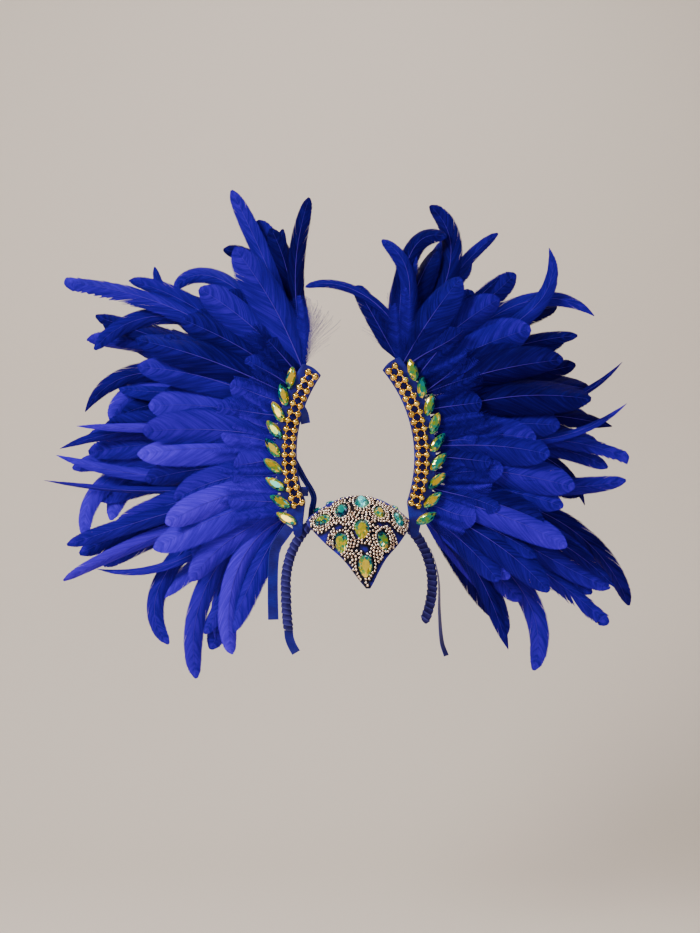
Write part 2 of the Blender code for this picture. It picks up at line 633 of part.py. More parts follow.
def make_horn_stones(side, group):
    shape = stone_mesh("teardrop_" + side, STONE_LENGTH, STONE_WIDTH, STONE_HEIGHT,
                       STONE_GIRDLE, STONE_SIDES)
    turns = STONE_TURN[side]
    first = horn_angle(side, 0.0) - STONE_FIRST_DROP
    last = horn_angle(side, 1.0) - STONE_LAST_DROP
    sign = SIDES[side]["sign"]
    for i, turn in enumerate(turns):
        angle = first + (last - first) * i / (len(turns) - 1)
        centre = horn_point(side, angle, STONE_OFFSET, HORN_FRONT_Y - GAP)
        heading = angle + math.radians(turn)
        along = Vector((sign * math.cos(heading), 0.0, math.sin(heading)))
        up = Vector((0.0, -1.0, 0.0))
        piece = add_object("horn_stone_%s_%d" % (side, i + 1), shape, "stone", group)
        piece.matrix_world = frame_matrix(centre, along, up)


def frame_matrix(origin, along, up):
    """Placement with local Z up one direction and local X as near another as it can be."""
    up = up.normalized()
    along = (along - up * along.dot(up)).normalized()
    side = up.cross(along)
    matrix = Matrix.Identity(4)
    for row in range(3):
        matrix[row][0] = along[row]
        matrix[row][1] = side[row]
        matrix[row][2] = up[row]
        matrix[row][3] = origin[row]
    return matrix


def peak_row_points(along, half_width, drop):
    """Inner surface of the peak across one row."""
    slope = PEAK_CREST_SLOPE + (PEAK_TIP_SLOPE - PEAK_CREST_SLOPE) * along
    forward = PEAK_CREST_FORWARD + PEAK_PROFILE_RADIUS * (math.sin(slope) - math.sin(PEAK_CREST_SLOPE))
    rise = PEAK_CREST_RISE - PEAK_PROFILE_RADIUS * (math.cos(PEAK_CREST_SLOPE) - math.cos(slope))
    shift = PEAK_SHIFT_TOP + (PEAK_SHIFT_TIP - PEAK_SHIFT_TOP) * along
    points = []
    for i in range(PEAK_COLUMNS + 1):
        across = -1.0 + 2.0 * i / PEAK_COLUMNS
        x = PEAK_HALF_WIDTH * half_width * across
        back = x * x / (2.0 * PEAK_PLAN_RADIUS)
        sink = PEAK_SIDE_DROP * drop * across ** 2
        points.append(Vector((shift + x, -forward + back, rise - sink)))
    return points


def peak_seat_points():
    """The peak's back edge, laid on the front of the band's top."""
    points = []
    lift = (BAND_RADIUS + 2.0 * GAP) * math.sqrt(0.5)
    for i in range(PEAK_COLUMNS + 1):
        share = -1.0 + 2.0 * i / PEAK_COLUMNS
        across = PEAK_HALF_WIDTH * PEAK_SEAT_SHARE * share + PEAK_SHIFT_TOP
        points.append(band_point(across) + band_normal(across) * lift - Vector((0.0, lift, 0.0)))
    return points


def make_peak_plate(group):
    rows = [peak_seat_points()]
    for row in PEAK_ROWS:
        rows.append(peak_row_points(row["along"], row["half_width"], row["drop"]))
    bm = bmesh.new()
    grid = [[bm.verts.new(point) for point in row] for row in rows]
    for low, high in zip(grid, grid[1:]):
        for i in range(PEAK_COLUMNS):
            bm.faces.new((low[i], high[i], high[i + 1], low[i + 1]))
    mesh = bpy.data.meshes.new("peak_skin")
    bm.to_mesh(mesh)
    bm.free()
    piece = add_object("peak_plate", mesh, "felt", group)
    wall = piece.modifiers.new("felt_wall", "SOLIDIFY")
    wall.thickness = PEAK_THICKNESS
    wall.offset = 1.0
    wall.use_even_offset = True
    return piece


def peak_surface(plate):
    """The finished plate as a surface that stones and chain can be laid on."""
    bpy.context.view_layer.update()
    depsgraph = bpy.context.evaluated_depsgraph_get()
    return BVHTree.FromObject(plate, depsgraph)


def lay_on_peak(surface, across, up):
    """The plate's front surface at a place in the front view."""
    return surface.ray_cast(Vector((across, -1.0, up)), Vector((0.0, 1.0, 0.0)))[0]


def smooth_normal(surface, across, up, reach):
    """Mean direction of the plate under a stone of the given half size."""
    total = Vector((0.0, 0.0, 0.0))
    for dx, dz in ((0, 0), (-reach, 0), (reach, 0), (0, -reach), (0, reach)):
        found = surface.ray_cast(Vector((across + dx, -1.0, up + dz)), Vector((0.0, 1.0, 0.0)))
        if found[0] is not None:
            total += found[1] if found[1].y < 0.0 else -found[1]
    return total.normalized()


def make_peak_stones(surface, group):
    for i, row in enumerate(PEAK_STONES):
        across = PEAK_HALF_WIDTH * row["across"] + PEAK_SHIFT_TOP
        up = PEAK_CREST_RISE + PEAK_THICKNESS - PEAK_HEIGHT * row["down"]
        length = PEAK_STONE_LENGTH * row["size"]
        width = PEAK_STONE_WIDTH * row["size"]
        point = lay_on_peak(surface, across, up)
        normal = smooth_normal(surface, across, up, width * 0.35)
        heading = math.radians(row["turn"])
        along = Vector((-math.sin(heading), 0.0, math.cos(heading)))
        lift = seat_lift(surface, point, normal, along, length, width)
        place = frame_matrix(point + normal * lift, along, normal)
        shape = stone_mesh("peak_stone_shape_%d" % (i + 1), length, width, STONE_HEIGHT,
                           STONE_GIRDLE, STONE_SIDES)
        finish = "teal_stone" if i < TEAL_PEAK_STONES else "stone"
        piece = add_object("peak_stone_%d" % (i + 1), shape, finish, group)
        piece.matrix_world = place
        make_chain_ring(surface, i + 1, place, length, width, group)


def seat_lift(surface, point, normal, along, length, width):
    """How far a flat back has to stand off so that it clears the domed plate."""
    side = normal.cross(along).normalized()
    along = side.cross(normal).normalized()
    lift = GAP
    for i in range(16):
        turn = 2.0 * math.pi * i / 16.0
        for scale in (0.25, 0.5, 0.75, 1.0):
            rim = point + along * (0.5 * length * scale * math.cos(turn)) \
                + side * (0.5 * width * scale * math.sin(turn))
            found = surface.ray_cast(rim + normal * PROBE_HEIGHT, -normal)
            if found[0] is not None:
                lift = max(lift, (found[0] - point).dot(normal) + GAP)
    return lift


def make_chain_ring(surface, number, place, length, width, group):
    """The tube that the ball chain follows round one stone, lying on the plate."""
    points = []
    margin = CHAIN_RADIUS + CHAIN_MARGIN
    up = (place.to_3x3() @ Vector((0.0, 0.0, 1.0))).normalized()
    for i in range(CHAIN_POINTS):
        turn = 2.0 * math.pi * i / CHAIN_POINTS
        along = (0.5 * length + margin) * math.cos(turn)
        belly = CHAIN_BULGE - CHAIN_TAPER * math.cos(turn)
        across = (0.5 * width + margin) * math.sin(turn) * belly
        rim = place @ Vector((along, across, 0.0))
        found = surface.ray_cast(rim + up * PROBE_HEIGHT, -up)
        drop = (rim - found[0]).dot(up) if found[0] is not None else 0.0
        level = max(0.0, min(drop, CHAIN_MAX_DROP))
        points.append(rim + up * (CHAIN_RADIUS + 2.0 * GAP - level))
    tube("peak_ring_%d" % number, points, CHAIN_RADIUS, 1, "rose_gold", group, cyclic=True)


def make_crown_stones(group, cutters):
    """A narrow strip over the band's top that carries a row of small oval stones."""
    strip = bmesh.new()
    rings = []
    steps = CROWN_STONE_COUNT + 1
    half = CROWN_STRIP_WIDTH / 2.0
    base = BAND_RADIUS + GAP
    set_back = Vector((0.0, CROWN_SET_BACK, 0.0))
    for i in range(steps + 1):
        across = CROWN_HALF_SPAN * (-1.0 + 2.0 * i / steps)
        centre = band_point(across) + set_back
        normal = band_normal(across)
        low = centre + normal * base
        high = centre + normal * (base + CROWN_STRIP_THICKNESS)
        rings.append([low + Vector((0, -half, 0)), low + Vector((0, half, 0)),
                      high + Vector((0, half, 0)), high + Vector((0, -half, 0))])
    loft(strip, rings)
    stones = bmesh.new()
    for i in range(CROWN_STONE_COUNT):
        across = CROWN_HALF_SPAN * (-1.0 + (2.0 * i + 1.0) / CROWN_STONE_COUNT)
        normal = band_normal(across)
        centre = band_point(across) + set_back + normal * (base + CROWN_STRIP_THICKNESS / 2.0)
        along = Vector((normal.z, 0.0, -normal.x))
        stone_body(stones, frame_matrix(centre, along, normal), CROWN_STONE_LENGTH,
                   CROWN_STONE_WIDTH, CROWN_STONE_HEIGHT, STONE_GIRDLE, CROWN_STONE_SIDES)
    union("crown_stones", close_mesh("crown_strip", strip), close_mesh("crown_oval", stones),
          "teal_stone", group, cutters)


def bezier(p0, p1, p2, p3, t):
    s = 1.0 - t
    return p0 * (s ** 3) + p1 * (3.0 * s * s * t) + p2 * (3.0 * s * t * t) + p3 * (t ** 3)


def feather_line(side, row):
    """Middle line of a feather in the plane of the fan, as a function of its share."""
    sign = SIDES[side]["sign"]
    root = horn_point(side, horn_angle(side, row["root"]), ROOT_OFFSET, 0.0)
    tip = Vector((sign * FAN_REACH * row["out"], 0.0, FAN_REACH * row["up"]))
    chord = tip - root
    length = chord.length
    base = math.atan2(chord.z, sign * chord.x)

    def heading(turn):
        angle = base + math.radians(turn)
        return Vector((sign * math.cos(angle), 0.0, math.sin(angle)))

    first = root + heading(row["leave"]) * (BLADE_HANDLE * length)
    last = tip - heading(row["arrive"]) * (BLADE_HANDLE * length)
    return lambda t: bezier(root, first, last, tip, t)


def feather_blade(bm, side, row, outline, depth, lean):
    """A thin blade with a raised middle rib, tapering to its tip."""
    line = feather_line(side, row)

    def placed(t):
        point = line(t)
        point.y = depth + math.tan(lean) * horn_distance(side, point)
        return point

    rings = []
    for step in outline:
        t = step["along"]
        centre = placed(t)
        ahead = placed(min(1.0, t + 0.02))
        behind = placed(max(0.0, t - 0.02))
        tangent = (ahead - behind).normalized()
        across = tangent.cross(Vector((0.0, 1.0, 0.0))).normalized()
        front = tangent.cross(across).normalized()
        if front.y > 0.0:
            front = -front
        half = 0.5 * FEATHER_WIDTH * row["width"] * step["width"]
        rings.append([centre + across * half - front * (FEATHER_THICKNESS / 2.0),
                      centre + front * (FEATHER_THICKNESS / 2.0),
                      centre - across * half - front * (FEATHER_THICKNESS / 2.0)])
    loft(bm, rings, tip=placed(1.0))


def backing(side, near, far):
    """The strip behind the horn that the quills are bound into."""
    bm = bmesh.new()
    rings = []
    inner = ROOT_OFFSET - BACKING_WIDTH * BACKING_INNER_SHARE
    outer = inner + BACKING_WIDTH
    for i in range(BACKING_STEPS + 1):
        share = BACKING_START + (BACKING_END - BACKING_START) * i / BACKING_STEPS
        angle = horn_angle(side, share)
        rings.append([horn_point(side, angle, inner, near), horn_point(side, angle, outer, near),
                      horn_point(side, angle, outer, far), horn_point(side, angle, inner, far)])
    loft(bm, rings)
    return close_mesh("backing_" + side, bm)


def make_fan(name, side, rows, outline, layers, near, step, lean, lean_step, group, cutters):
    blades = bmesh.new()
    for i, row in enumerate(rows):
        layer = i % layers
        depth = near + FAN_SKIN + step * layer
        feather_blade(blades, side, row, outline, depth, lean + lean_step * layer)
    far = near + 2.0 * FAN_SKIN + step * (layers - 1)
    union(name, backing(side, near, far), close_mesh(name + "_blades", blades),
          "feather", group, cutters)
    return far


def make_fans(side, group, cutters):
    near = HORN_BACK_Y + GAP
    far = make_fan("feathers_front_" + side, side, FRONT_FEATHERS[side], FRONT_OUTLINE,
                   FRONT_LAYERS, near, FRONT_STEP, FRONT_LEAN, FRONT_LEAN_STEP, group, cutters)
    make_fan("feathers_back_" + side, side, BACK_FEATHERS[side], BACK_OUTLINE,
             BACK_LAYERS, far + GAP, BACK_STEP, BACK_LEAN, BACK_LEAN_STEP, group, cutters)


def ribbon(name, stations, group):
    """A flat ribbon through stations, each a centre and the direction of its width."""
    bm = bmesh.new()
    rings = []
    count = len(stations)
    for i, (centre, across, width) in enumerate(stations):
        ahead = stations[min(count - 1, i + 1)][0]
        behind = stations[max(0, i - 1)][0]
        tangent = (ahead - behind).normalized()
        across = (across - tangent * across.dot(tangent)).normalized() * (width / 2.0)
        thick = tangent.cross(across).normalized() * (RIBBON_THICKNESS / 2.0)
        rings.append([centre - across - thick, centre + across - thick,
                      centre + across + thick, centre - across + thick])
    loft(bm, rings)
    add_object(name, close_mesh(name, bm), "ribbon", group)


def hung(start, length, rows):
    """Stations of a ribbon that hangs from its start, widths across the headdress."""
    stations = []
    for row in rows:
        place = Vector((row["out"], row["back"], -row["down"])) * length
        stations.append((start + place, row["wide"], RIBBON_WIDTH * row["width"]))
    return stations


def make_ribbons(group):
    behind_horn = HORN_BACK_Y + GAP + RIBBON_THICKNESS / 2.0
    clear_of_band = BAND_RADIUS + GAP + RIBBON_THICKNESS / 2.0

    # Wide strip: from behind the left horn's foot, out past the band, then straight down
    foot = horn_point("left", horn_angle("left", 0.0), STRIP_OUT, behind_horn)
    start = foot - Vector((0.0, 0.0, STRIP_DROP))
    ribbon("ribbon_strip_left", hung(start, STRIP_LENGTH, STRIP_ROWS), group)

    # Tail below the left end of the band
    start = band_leg_point("left", 1.0) - Vector((0.0, 0.0, GAP))
    ribbon("ribbon_tail_left", hung(start, TAIL_LENGTH, TAIL_ROWS), group)

    # Narrow tail that hangs edge-on from the outside of the band's right side
    start = band_point(SIDE_TAIL_ACROSS) + band_normal(SIDE_TAIL_ACROSS) * clear_of_band
    ribbon("ribbon_tail_right", hung(start, SIDE_TAIL_LENGTH, SIDE_TAIL_ROWS), group)

    # Brace from the back of the left horn down to the back of the band
    high = horn_point("left", horn_angle("left", BRACE_SHARE), BRACE_OFFSET, behind_horn + GAP)
    low = band_point(BRACE_ACROSS) + Vector((0.0, clear_of_band, 0.0))
    elbow = Vector((BRACE_ACROSS + BRACE_ELBOW_IN, low.y * 0.9, low.z + BRACE_ELBOW_RISE))
    middle = high.lerp(elbow, 0.5) + Vector((0.0, BRACE_SLACK, 0.0))
    below = elbow.lerp(low, 0.5) + Vector((0.0, BRACE_SLACK, 0.0))
    width = RIBBON_WIDTH * BRACE_WIDTH_SHARE
    ribbon("ribbon_brace_left", [(high, WIDE, width), (middle, TILTED, width),
                                 (elbow, TILTED, width), (below, WIDE, width),
                                 (low, WIDE, width)], group)

    # Short tab that peeps out behind the horn's inner edge
    tab = horn_point("left", horn_angle("left", TAB_SHARE), -HORN_INNER_MARGIN, behind_horn)
    ribbon("ribbon_tab_left", hung(tab, TAB_LENGTH, TAB_ROWS), group)

    # Loop of the brace's knot, standing off the horn's back
    knot = horn_point("left", horn_angle("left", KNOT_SHARE), -HORN_INNER_MARGIN, behind_horn)
    ribbon("ribbon_knot_left", hung(knot, KNOT_SIZE, KNOT_ROWS), group)


def main():
    clear_scene()
    group = new_collection("feather_headdress")
    cutters = new_collection("operands")
    make_headband(group)
    plate = make_peak_plate(group)
    surface = peak_surface(plate)
    make_peak_stones(surface, group)
    make_crown_stones(group, cutters)
    for side in SIDES:
        make_horn_plate(side, group)
        make_bead_ladder(side, group, cutters)
        make_horn_stones(side, group)
        make_fans(side, group, cutters)
    make_ribbons(group)


main()
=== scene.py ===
"""Looks of a showgirl feather headdress: wound velvet band, jewelled forehead peak, gold-beaded
horns with cut stones, and layered fans of dyed goose feathers. Metres, +Z up, wearer faces -Y."""

import math
import random

import bpy
from mathutils import Euler, Matrix, Vector, noise
from mathutils.bvhtree import BVHTree


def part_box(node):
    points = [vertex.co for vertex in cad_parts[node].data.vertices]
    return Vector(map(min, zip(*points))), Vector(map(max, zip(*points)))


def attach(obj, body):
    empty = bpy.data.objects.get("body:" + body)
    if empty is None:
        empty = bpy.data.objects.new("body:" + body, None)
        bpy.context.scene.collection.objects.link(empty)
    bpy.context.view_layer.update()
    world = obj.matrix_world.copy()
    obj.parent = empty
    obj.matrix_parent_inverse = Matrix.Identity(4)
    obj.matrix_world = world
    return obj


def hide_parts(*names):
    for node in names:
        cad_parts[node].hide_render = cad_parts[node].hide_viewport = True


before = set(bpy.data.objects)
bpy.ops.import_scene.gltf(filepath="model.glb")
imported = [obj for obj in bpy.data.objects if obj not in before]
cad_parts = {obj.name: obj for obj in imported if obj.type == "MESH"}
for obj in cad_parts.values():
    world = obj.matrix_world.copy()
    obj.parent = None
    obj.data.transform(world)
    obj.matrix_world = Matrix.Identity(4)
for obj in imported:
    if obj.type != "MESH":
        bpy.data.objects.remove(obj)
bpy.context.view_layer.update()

# Camera: a portrait lens straight in front of the headdress, a little above the brow. The
# picture is 700 by 933, and its height spans 1.064 m at the horns.
PICTURE_SPAN = 1.0636
CAMERA_DISTANCE = 1.5
CAMERA_AIM = Vector((-0.0068, 0.0, 0.0496))

bpy.ops.object.camera_add(location=CAMERA_AIM + Vector((0.0, -CAMERA_DISTANCE, 0.0)),
                          rotation=(math.pi / 2.0, 0.0, 0.0))
camera = bpy.context.object
camera.data.sensor_fit = "VERTICAL"
camera.data.angle = 2.0 * math.atan(0.5 * PICTURE_SPAN / CAMERA_DISTANCE)
bpy.context.scene.camera = camera

# Studio: a pale floor that sweeps up into a backdrop, far enough back and below to stay soft.
FLOOR_LEVEL = -0.62
FLOOR_HALF = 4.0
BACKDROP_BACK = 1.6
BACKDROP_HEIGHT = 3.4
SWEEP_RADIUS = 0.9

bpy.ops.mesh.primitive_plane_add(size=2.0 * FLOOR_HALF,
                                 location=(0.0, BACKDROP_BACK - FLOOR_HALF, FLOOR_LEVEL))
floor = bpy.context.object
floor.name = "studio_floor"
bpy.ops.object.mode_set(mode="EDIT")
bpy.ops.mesh.select_mode(type="EDGE")
bpy.ops.mesh.select_all(action="DESELECT")
bpy.ops.object.mode_set(mode="OBJECT")
for edge in floor.data.edges:
    ends = [floor.data.vertices[i].co.y for i in edge.vertices]
    edge.select = min(ends) > 0.0
bpy.ops.object.mode_set(mode="EDIT")
bpy.ops.mesh.extrude_region_move(TRANSFORM_OT_translate={"value": (0.0, 0.0, BACKDROP_HEIGHT)})
bpy.ops.object.mode_set(mode="OBJECT")
for edge in floor.data.edges:
    ends = [floor.data.vertices[i].co for i in edge.vertices]
    edge.select = all(end.y > 0.0 and end.z < 0.01 for end in ends)
bpy.ops.object.mode_set(mode="EDIT")
bpy.ops.mesh.bevel(offset=SWEEP_RADIUS, segments=16, affect="EDGES")
bpy.ops.object.mode_set(mode="OBJECT")
bpy.ops.object.shade_smooth()
bpy.ops.object.transform_apply(location=True, rotation=True, scale=True)

paper = bpy.data.materials.new("studio_paper")
paper.use_nodes = True
paper.node_tree.nodes["Principled BSDF"].inputs["Base Color"].default_value = (0.72, 0.62, 0.53, 1.0)
paper.node_tree.nodes["Principled BSDF"].inputs["Roughness"].default_value = 0.95
floor.data.materials.append(paper)

# Light: a broad soft box in front and above, a fill from each side, and an even pale room.
LIGHTS = (
    {"name": "key", "at": (-1.6, -1.5, 1.2), "size": 0.9, "watts": 84.0},
    {"name": "fill", "at": (1.5, -1.7, 0.6), "size": 1.4, "watts": 12.0},
    {"name": "front", "at": (0.2, -2.3, 0.3), "size": 0.8, "watts": 10.0},
    {"name": "top", "at": (0.3, 0.3, 1.9), "size": 1.2, "watts": 26.0},
)
for row in LIGHTS:
    place = Vector(row["at"])
    turn = (Vector((0.0, 0.0, 0.08)) - place).to_track_quat("-Z", "Y").to_euler()
    bpy.ops.object.light_add(type="AREA", location=place, rotation=turn)
    lamp = bpy.context.object
    lamp.name = "light_" + row["name"]
    lamp.data.shape = "DISK"
    lamp.data.size = row["size"]
    lamp.data.energy = row["watts"]
room = bpy.data.worlds.new("room")
room.use_nodes = True
room.node_tree.nodes["Background"].inputs["Color"].default_value = (1.0, 0.97, 0.94, 1.0)
room.node_tree.nodes["Background"].inputs["Strength"].default_value = 0.20
bpy.context.scene.world = room


class Shade:
    """A socket of a material's node tree; sums, products and comparisons add Math nodes."""

    def __init__(self, finish, socket):
        self.finish = finish
        self.socket = socket

    def maths(self, operation, *values):
        return self.finish.node("ShaderNodeMath", {"operation": operation},
                                dict(enumerate(values)))

    def __add__(self, other):
        return self.maths("ADD", self, other)

    def __radd__(self, other):
        return self.maths("ADD", other, self)

    def __sub__(self, other):
        return self.maths("SUBTRACT", self, other)

    def __rsub__(self, other):
        return self.maths("SUBTRACT", other, self)

    def __mul__(self, other):
        return self.maths("MULTIPLY", self, other)

    def __rmul__(self, other):
        return self.maths("MULTIPLY", other, self)

    def __truediv__(self, other):
        return self.maths("DIVIDE", self, other)

    def __gt__(self, other):
        return self.maths("GREATER_THAN", self, other)

    def power(self, other):
        return self.maths("POWER", self, other)

    def sine(self):
        return self.maths("SINE", self)

    def fraction(self):
        return self.maths("FRACT", self)

    def size(self):
        return self.maths("ABSOLUTE", self)


class Finish:
    """A material under construction: its Principled shader and the nodes that feed it."""

    def __init__(self, name, **constants):
        self.material = bpy.data.materials.new(name)
        self.material.use_nodes = True
        self.tree = self.material.node_tree
        self.shader = self.tree.nodes["Principled BSDF"]
        for label, value in constants.items():
            self.shader.inputs[label.replace("_", " ")].default_value = value

    def node(self, kind, settings=None, sockets=None, out=0):
        made = self.tree.nodes.new(kind)
        for label, value in (settings or {}).items():
            if label == "stops":
                for stop, (place, colour) in zip(self.stops(made, len(value)), value):
                    stop.position = place
                    stop.color = (*colour, 1.0)
            else:
                setattr(made, label, value)
        for label, value in (sockets or {}).items():
            if isinstance(value, Shade):
                self.tree.links.new(value.socket, made.inputs[label])
            else:
                made.inputs[label].default_value = value
        return Shade(self, made.outputs[out])

    def stops(self, ramp, count):
        elements = ramp.color_ramp.elements
        while len(elements) < count:
            elements.new(0.5)
        return elements

    def ramp(self, factor, *stops):
        return self.node("ShaderNodeValToRGB", {"stops": stops}, {"Fac": factor})

    def mix(self, factor, first, second, blend="MIX"):
        mixed = self.node("ShaderNodeMix", {"data_type": "RGBA", "blend_type": blend},
                          {"Factor": factor, 6: first, 7: second}, out=2)
        return mixed

    def place(self, across=1.0, along=1.0, deep=1.0, source="Object"):
        """Coordinates of the piece itself, or its UV map, stretched along each axis."""
        where = self.node("ShaderNodeTexCoord", out=source)
        return self.node("ShaderNodeMapping", None,
                         {"Vector": where, "Scale": (across, along, deep)})

    def grain(self, where, scale, detail=3.0, out="Fac"):
        return self.node("ShaderNodeTexNoise", None,
                         {"Vector": where, "Scale": scale, "Detail": detail}, out=out)

    def mark(self, name, out="Fac"):
        """A value that the mesh carries as a named attribute."""
        return self.node("ShaderNodeAttribute", {"attribute_name": name}, out=out)

    def colour(self, value):
        self.tree.links.new(value.socket, self.shader.inputs["Base Color"])

    def feed(self, label, value):
        self.tree.links.new(value.socket, self.shader.inputs[label])

    def bump(self, height, depth, strength=1.0):
        relief = self.node("ShaderNodeBump", None,
                           {"Height": height, "Distance": depth, "Strength": strength})
        self.tree.links.new(relief.socket, self.shader.inputs["Normal"])


# Headband: a padded wire wound all along with velvet ribbon, each turn lapping the one before.
# It runs over the crown and down both sides of the head, and its ends are bound off.
SIDES = {"left": -1.0, "right": 1.0}
BAND_RADIUS = 0.0055
BAND_HALF_SPAN = {"left": 0.080, "right": 0.087}
BAND_RISE = 0.090
BAND_SPRINGING = BAND_RADIUS - BAND_RISE
BAND_LEG = {"left": 0.053, "right": 0.044}
BAND_TOE_IN = {"left": 0.003, "right": 0.010}
BAND_COLUMNS = 28
TURN_PITCH = 0.0062
TURN_SLANT = 0.20
# The rim column paints sheen: the lapped edge of each turn is painted lighter, as where the pile catches
# the light at the fold.
TURN_STEPS = (
    {"along": 0.00, "radius": 0.93, "rim": 0.0},
    {"along": 0.05, "radius": 1.08, "rim": 0.8},
    {"along": 0.15, "radius": 1.12, "rim": 1.0},
    {"along": 0.30, "radius": 1.10, "rim": 0.3},
    {"along": 0.60, "radius": 1.04, "rim": 0.1},
    {"along": 0.90, "radius": 0.96, "rim": 0.0},
)
CRUSH_DEPTH = 0.00035
CRUSH_SCALE = 420.0


def bent_grid(name, columns, rows, place, marks=()):
    """A grid whose crossing (i, j) is moved to place(i, j), with optional values on its points.
    The place may come with a value for each mark: (point, value, value)."""
    bpy.ops.object.select_all(action="DESELECT")
    bpy.ops.mesh.primitive_grid_add(x_subdivisions=columns, y_subdivisions=rows, size=2.0)
    piece = bpy.context.object
    piece.name = name
    values = [[] for mark in marks]
    for point in piece.data.vertices:
        i = round((point.co.x + 1.0) / 2.0 * columns)
        j = round((point.co.y + 1.0) / 2.0 * rows)
        found = place(i, j)
        if marks:
            for store, value in zip(values, found[1:]):
                store.append(value)
            found = found[0]
        point.co = found
    for mark, store in zip(marks, values):
        layer = piece.data.attributes.new(mark, "FLOAT", "POINT")
        layer.data.foreach_set("value", store)
    return piece


def tidy_skin(piece, merge=0.00002, smooth=None):
    """Merge the seams of a bent grid, turn its faces outwards and set its shading."""
    bpy.ops.object.select_all(action="DESELECT")
    piece.select_set(True)
    bpy.context.view_layer.objects.active = piece
    bpy.ops.object.mode_set(mode="EDIT")
    bpy.ops.mesh.select_all(action="SELECT")
    bpy.ops.mesh.remove_doubles(threshold=merge)
    bpy.ops.mesh.normals_make_consistent(inside=False)
    bpy.ops.object.mode_set(mode="OBJECT")
    if smooth is None:
        bpy.ops.object.shade_smooth()
    else:
        bpy.ops.object.shade_smooth_by_angle(angle=smooth)


def settle(piece, finish, slot, *nodes):
    """Give a finished piece its material, its body and the CAD nodes that it stands for."""
    bpy.ops.object.select_all(action="DESELECT")
    piece.select_set(True)
    bpy.context.view_layer.objects.active = piece
    bpy.ops.object.transform_apply(location=True, rotation=True, scale=True)
    piece.data.materials.clear()
    piece.data.materials.append(finish.material)
    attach(piece, "root")
    if nodes:
        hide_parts(*nodes)


def band_leg_point(side, share):
    across = BAND_HALF_SPAN[side] - BAND_TOE_IN[side] * share ** 2
    return Vector((SIDES[side] * across, 0.0, BAND_SPRINGING - BAND_LEG[side] * share))


def band_point(across):
    """Centre of the band's arch above a distance across from the middle."""
    half = BAND_HALF_SPAN["left" if across < 0.0 else "right"]
    height = math.sqrt(max(0.0, 1.0 - (across / half) ** 2))
    return Vector((across, 0.0, BAND_SPRINGING + BAND_RISE * height))


def band_normal(across):
    half = BAND_HALF_SPAN["left" if across < 0.0 else "right"]
    level = band_point(across).z - BAND_SPRINGING
    return Vector((across / half ** 2, 0.0, level / BAND_RISE ** 2)).normalized()


band_line = [band_leg_point("left", 1.0 - i / 24) for i in range(24)]
for i in range(121):
    half = BAND_HALF_SPAN["left" if i < 60 else "right"]
    angle = math.pi * (1.0 - i / 120)
    band_line.append(Vector((half * math.cos(angle), 0.0,
                             BAND_SPRINGING + BAND_RISE * math.sin(angle))))
band_line += [band_leg_point("right", i / 24) for i in range(1, 25)]
band_length = [0.0]
for here, there in zip(band_line, band_line[1:]):
    band_length.append(band_length[-1] + (there - here).length)


def band_at(distance):
    """Centre and direction of the band at a distance from its left end."""
    distance = min(max(distance, 0.0), band_length[-1])
    i = 1
    while band_length[i] < distance and i < len(band_line) - 1:
        i += 1
    share = (distance - band_length[i - 1]) / (band_length[i] - band_length[i - 1])
    here = band_line[max(0, i - 2)]
    there = band_line[min(len(band_line) - 1, i + 1)]
    return band_line[i - 1].lerp(band_line[i], share), (there - here).normalized()


band_turns = int(band_length[-1] / TURN_PITCH)
band_rows = band_turns * len(TURN_STEPS)


def wound_velvet(i, j):
    turn, step = divmod(min(j, band_rows - 1), len(TURN_STEPS))
    round_about = 2.0 * math.pi * i / BAND_COLUMNS
    wander = 0.16 * noise.noise(Vector((turn * 3.7, 0.0, 0.0)))
    slant = TURN_SLANT + wander
    along = turn + TURN_STEPS[step]["along"] + slant * math.cos(round_about)
    centre, ahead = band_at(along * band_length[-1] / band_turns)
    outward = Vector((-ahead.z, 0.0, ahead.x))
    reach = BAND_RADIUS * (TURN_STEPS[step]["radius"]
                           + 0.05 * noise.noise(Vector((turn * 1.9, 5.0, 0.0))))
    ends = min(1.0, (j + 0.4) / 4.0, (band_rows - j + 0.4) / 4.0)
    reach *= math.sqrt(ends)
    spot = centre + outward * (reach * math.cos(round_about))
    spot.y += reach * math.sin(round_about)
    crush = noise.noise(spot * CRUSH_SCALE) * CRUSH_DEPTH
    away = (spot - centre).normalized()
    return spot + away * crush, TURN_STEPS[step]["rim"]


band = bent_grid("wound_headband", BAND_COLUMNS, band_rows, wound_velvet, marks=("rim",))
bpy.ops.object.mode_set(mode="EDIT")
bpy.ops.mesh.select_all(action="SELECT")
bpy.ops.mesh.remove_doubles(threshold=0.00002)
bpy.ops.mesh.select_all(action="DESELECT")
bpy.ops.mesh.select_mode(type="EDGE")
bpy.ops.mesh.select_non_manifold()
bpy.ops.mesh.edge_face_add()
bpy.ops.object.mode_set(mode="OBJECT")
tidy_skin(band)

velvet = Finish("crushed_velvet", Roughness=0.86, Sheen_Weight=0.22, Sheen_Roughness=0.45,
                Sheen_Tint=(0.25, 0.28, 1.0, 1.0), Specular_IOR_Level=0.15)
nap = velvet.grain(velvet.place(), 260.0, 4.0)
crush = velvet.grain(velvet.place(1.0, 1.0, 1.6), 70.0, 2.0)
deep_blue = velvet.ramp(nap * 0.55 + crush * 0.45, (0.30, (0.0045, 0.0012, 0.036)),
                        (0.52, (0.0105, 0.0050, 0.082)), (0.72, (0.0240, 0.0140, 0.150)))
# Painted sheen: the velvet is painted lighter along each turn's lapped edge, by its rim value.
velvet.colour(velvet.mix(velvet.mark("rim") * 0.62 * (nap * 0.8 + 0.5),
                         deep_blue, (0.080, 0.075, 0.330, 1.0)))
velvet.bump(nap, 0.0004, 0.7)
settle(band, velvet, "velvet", "headband")


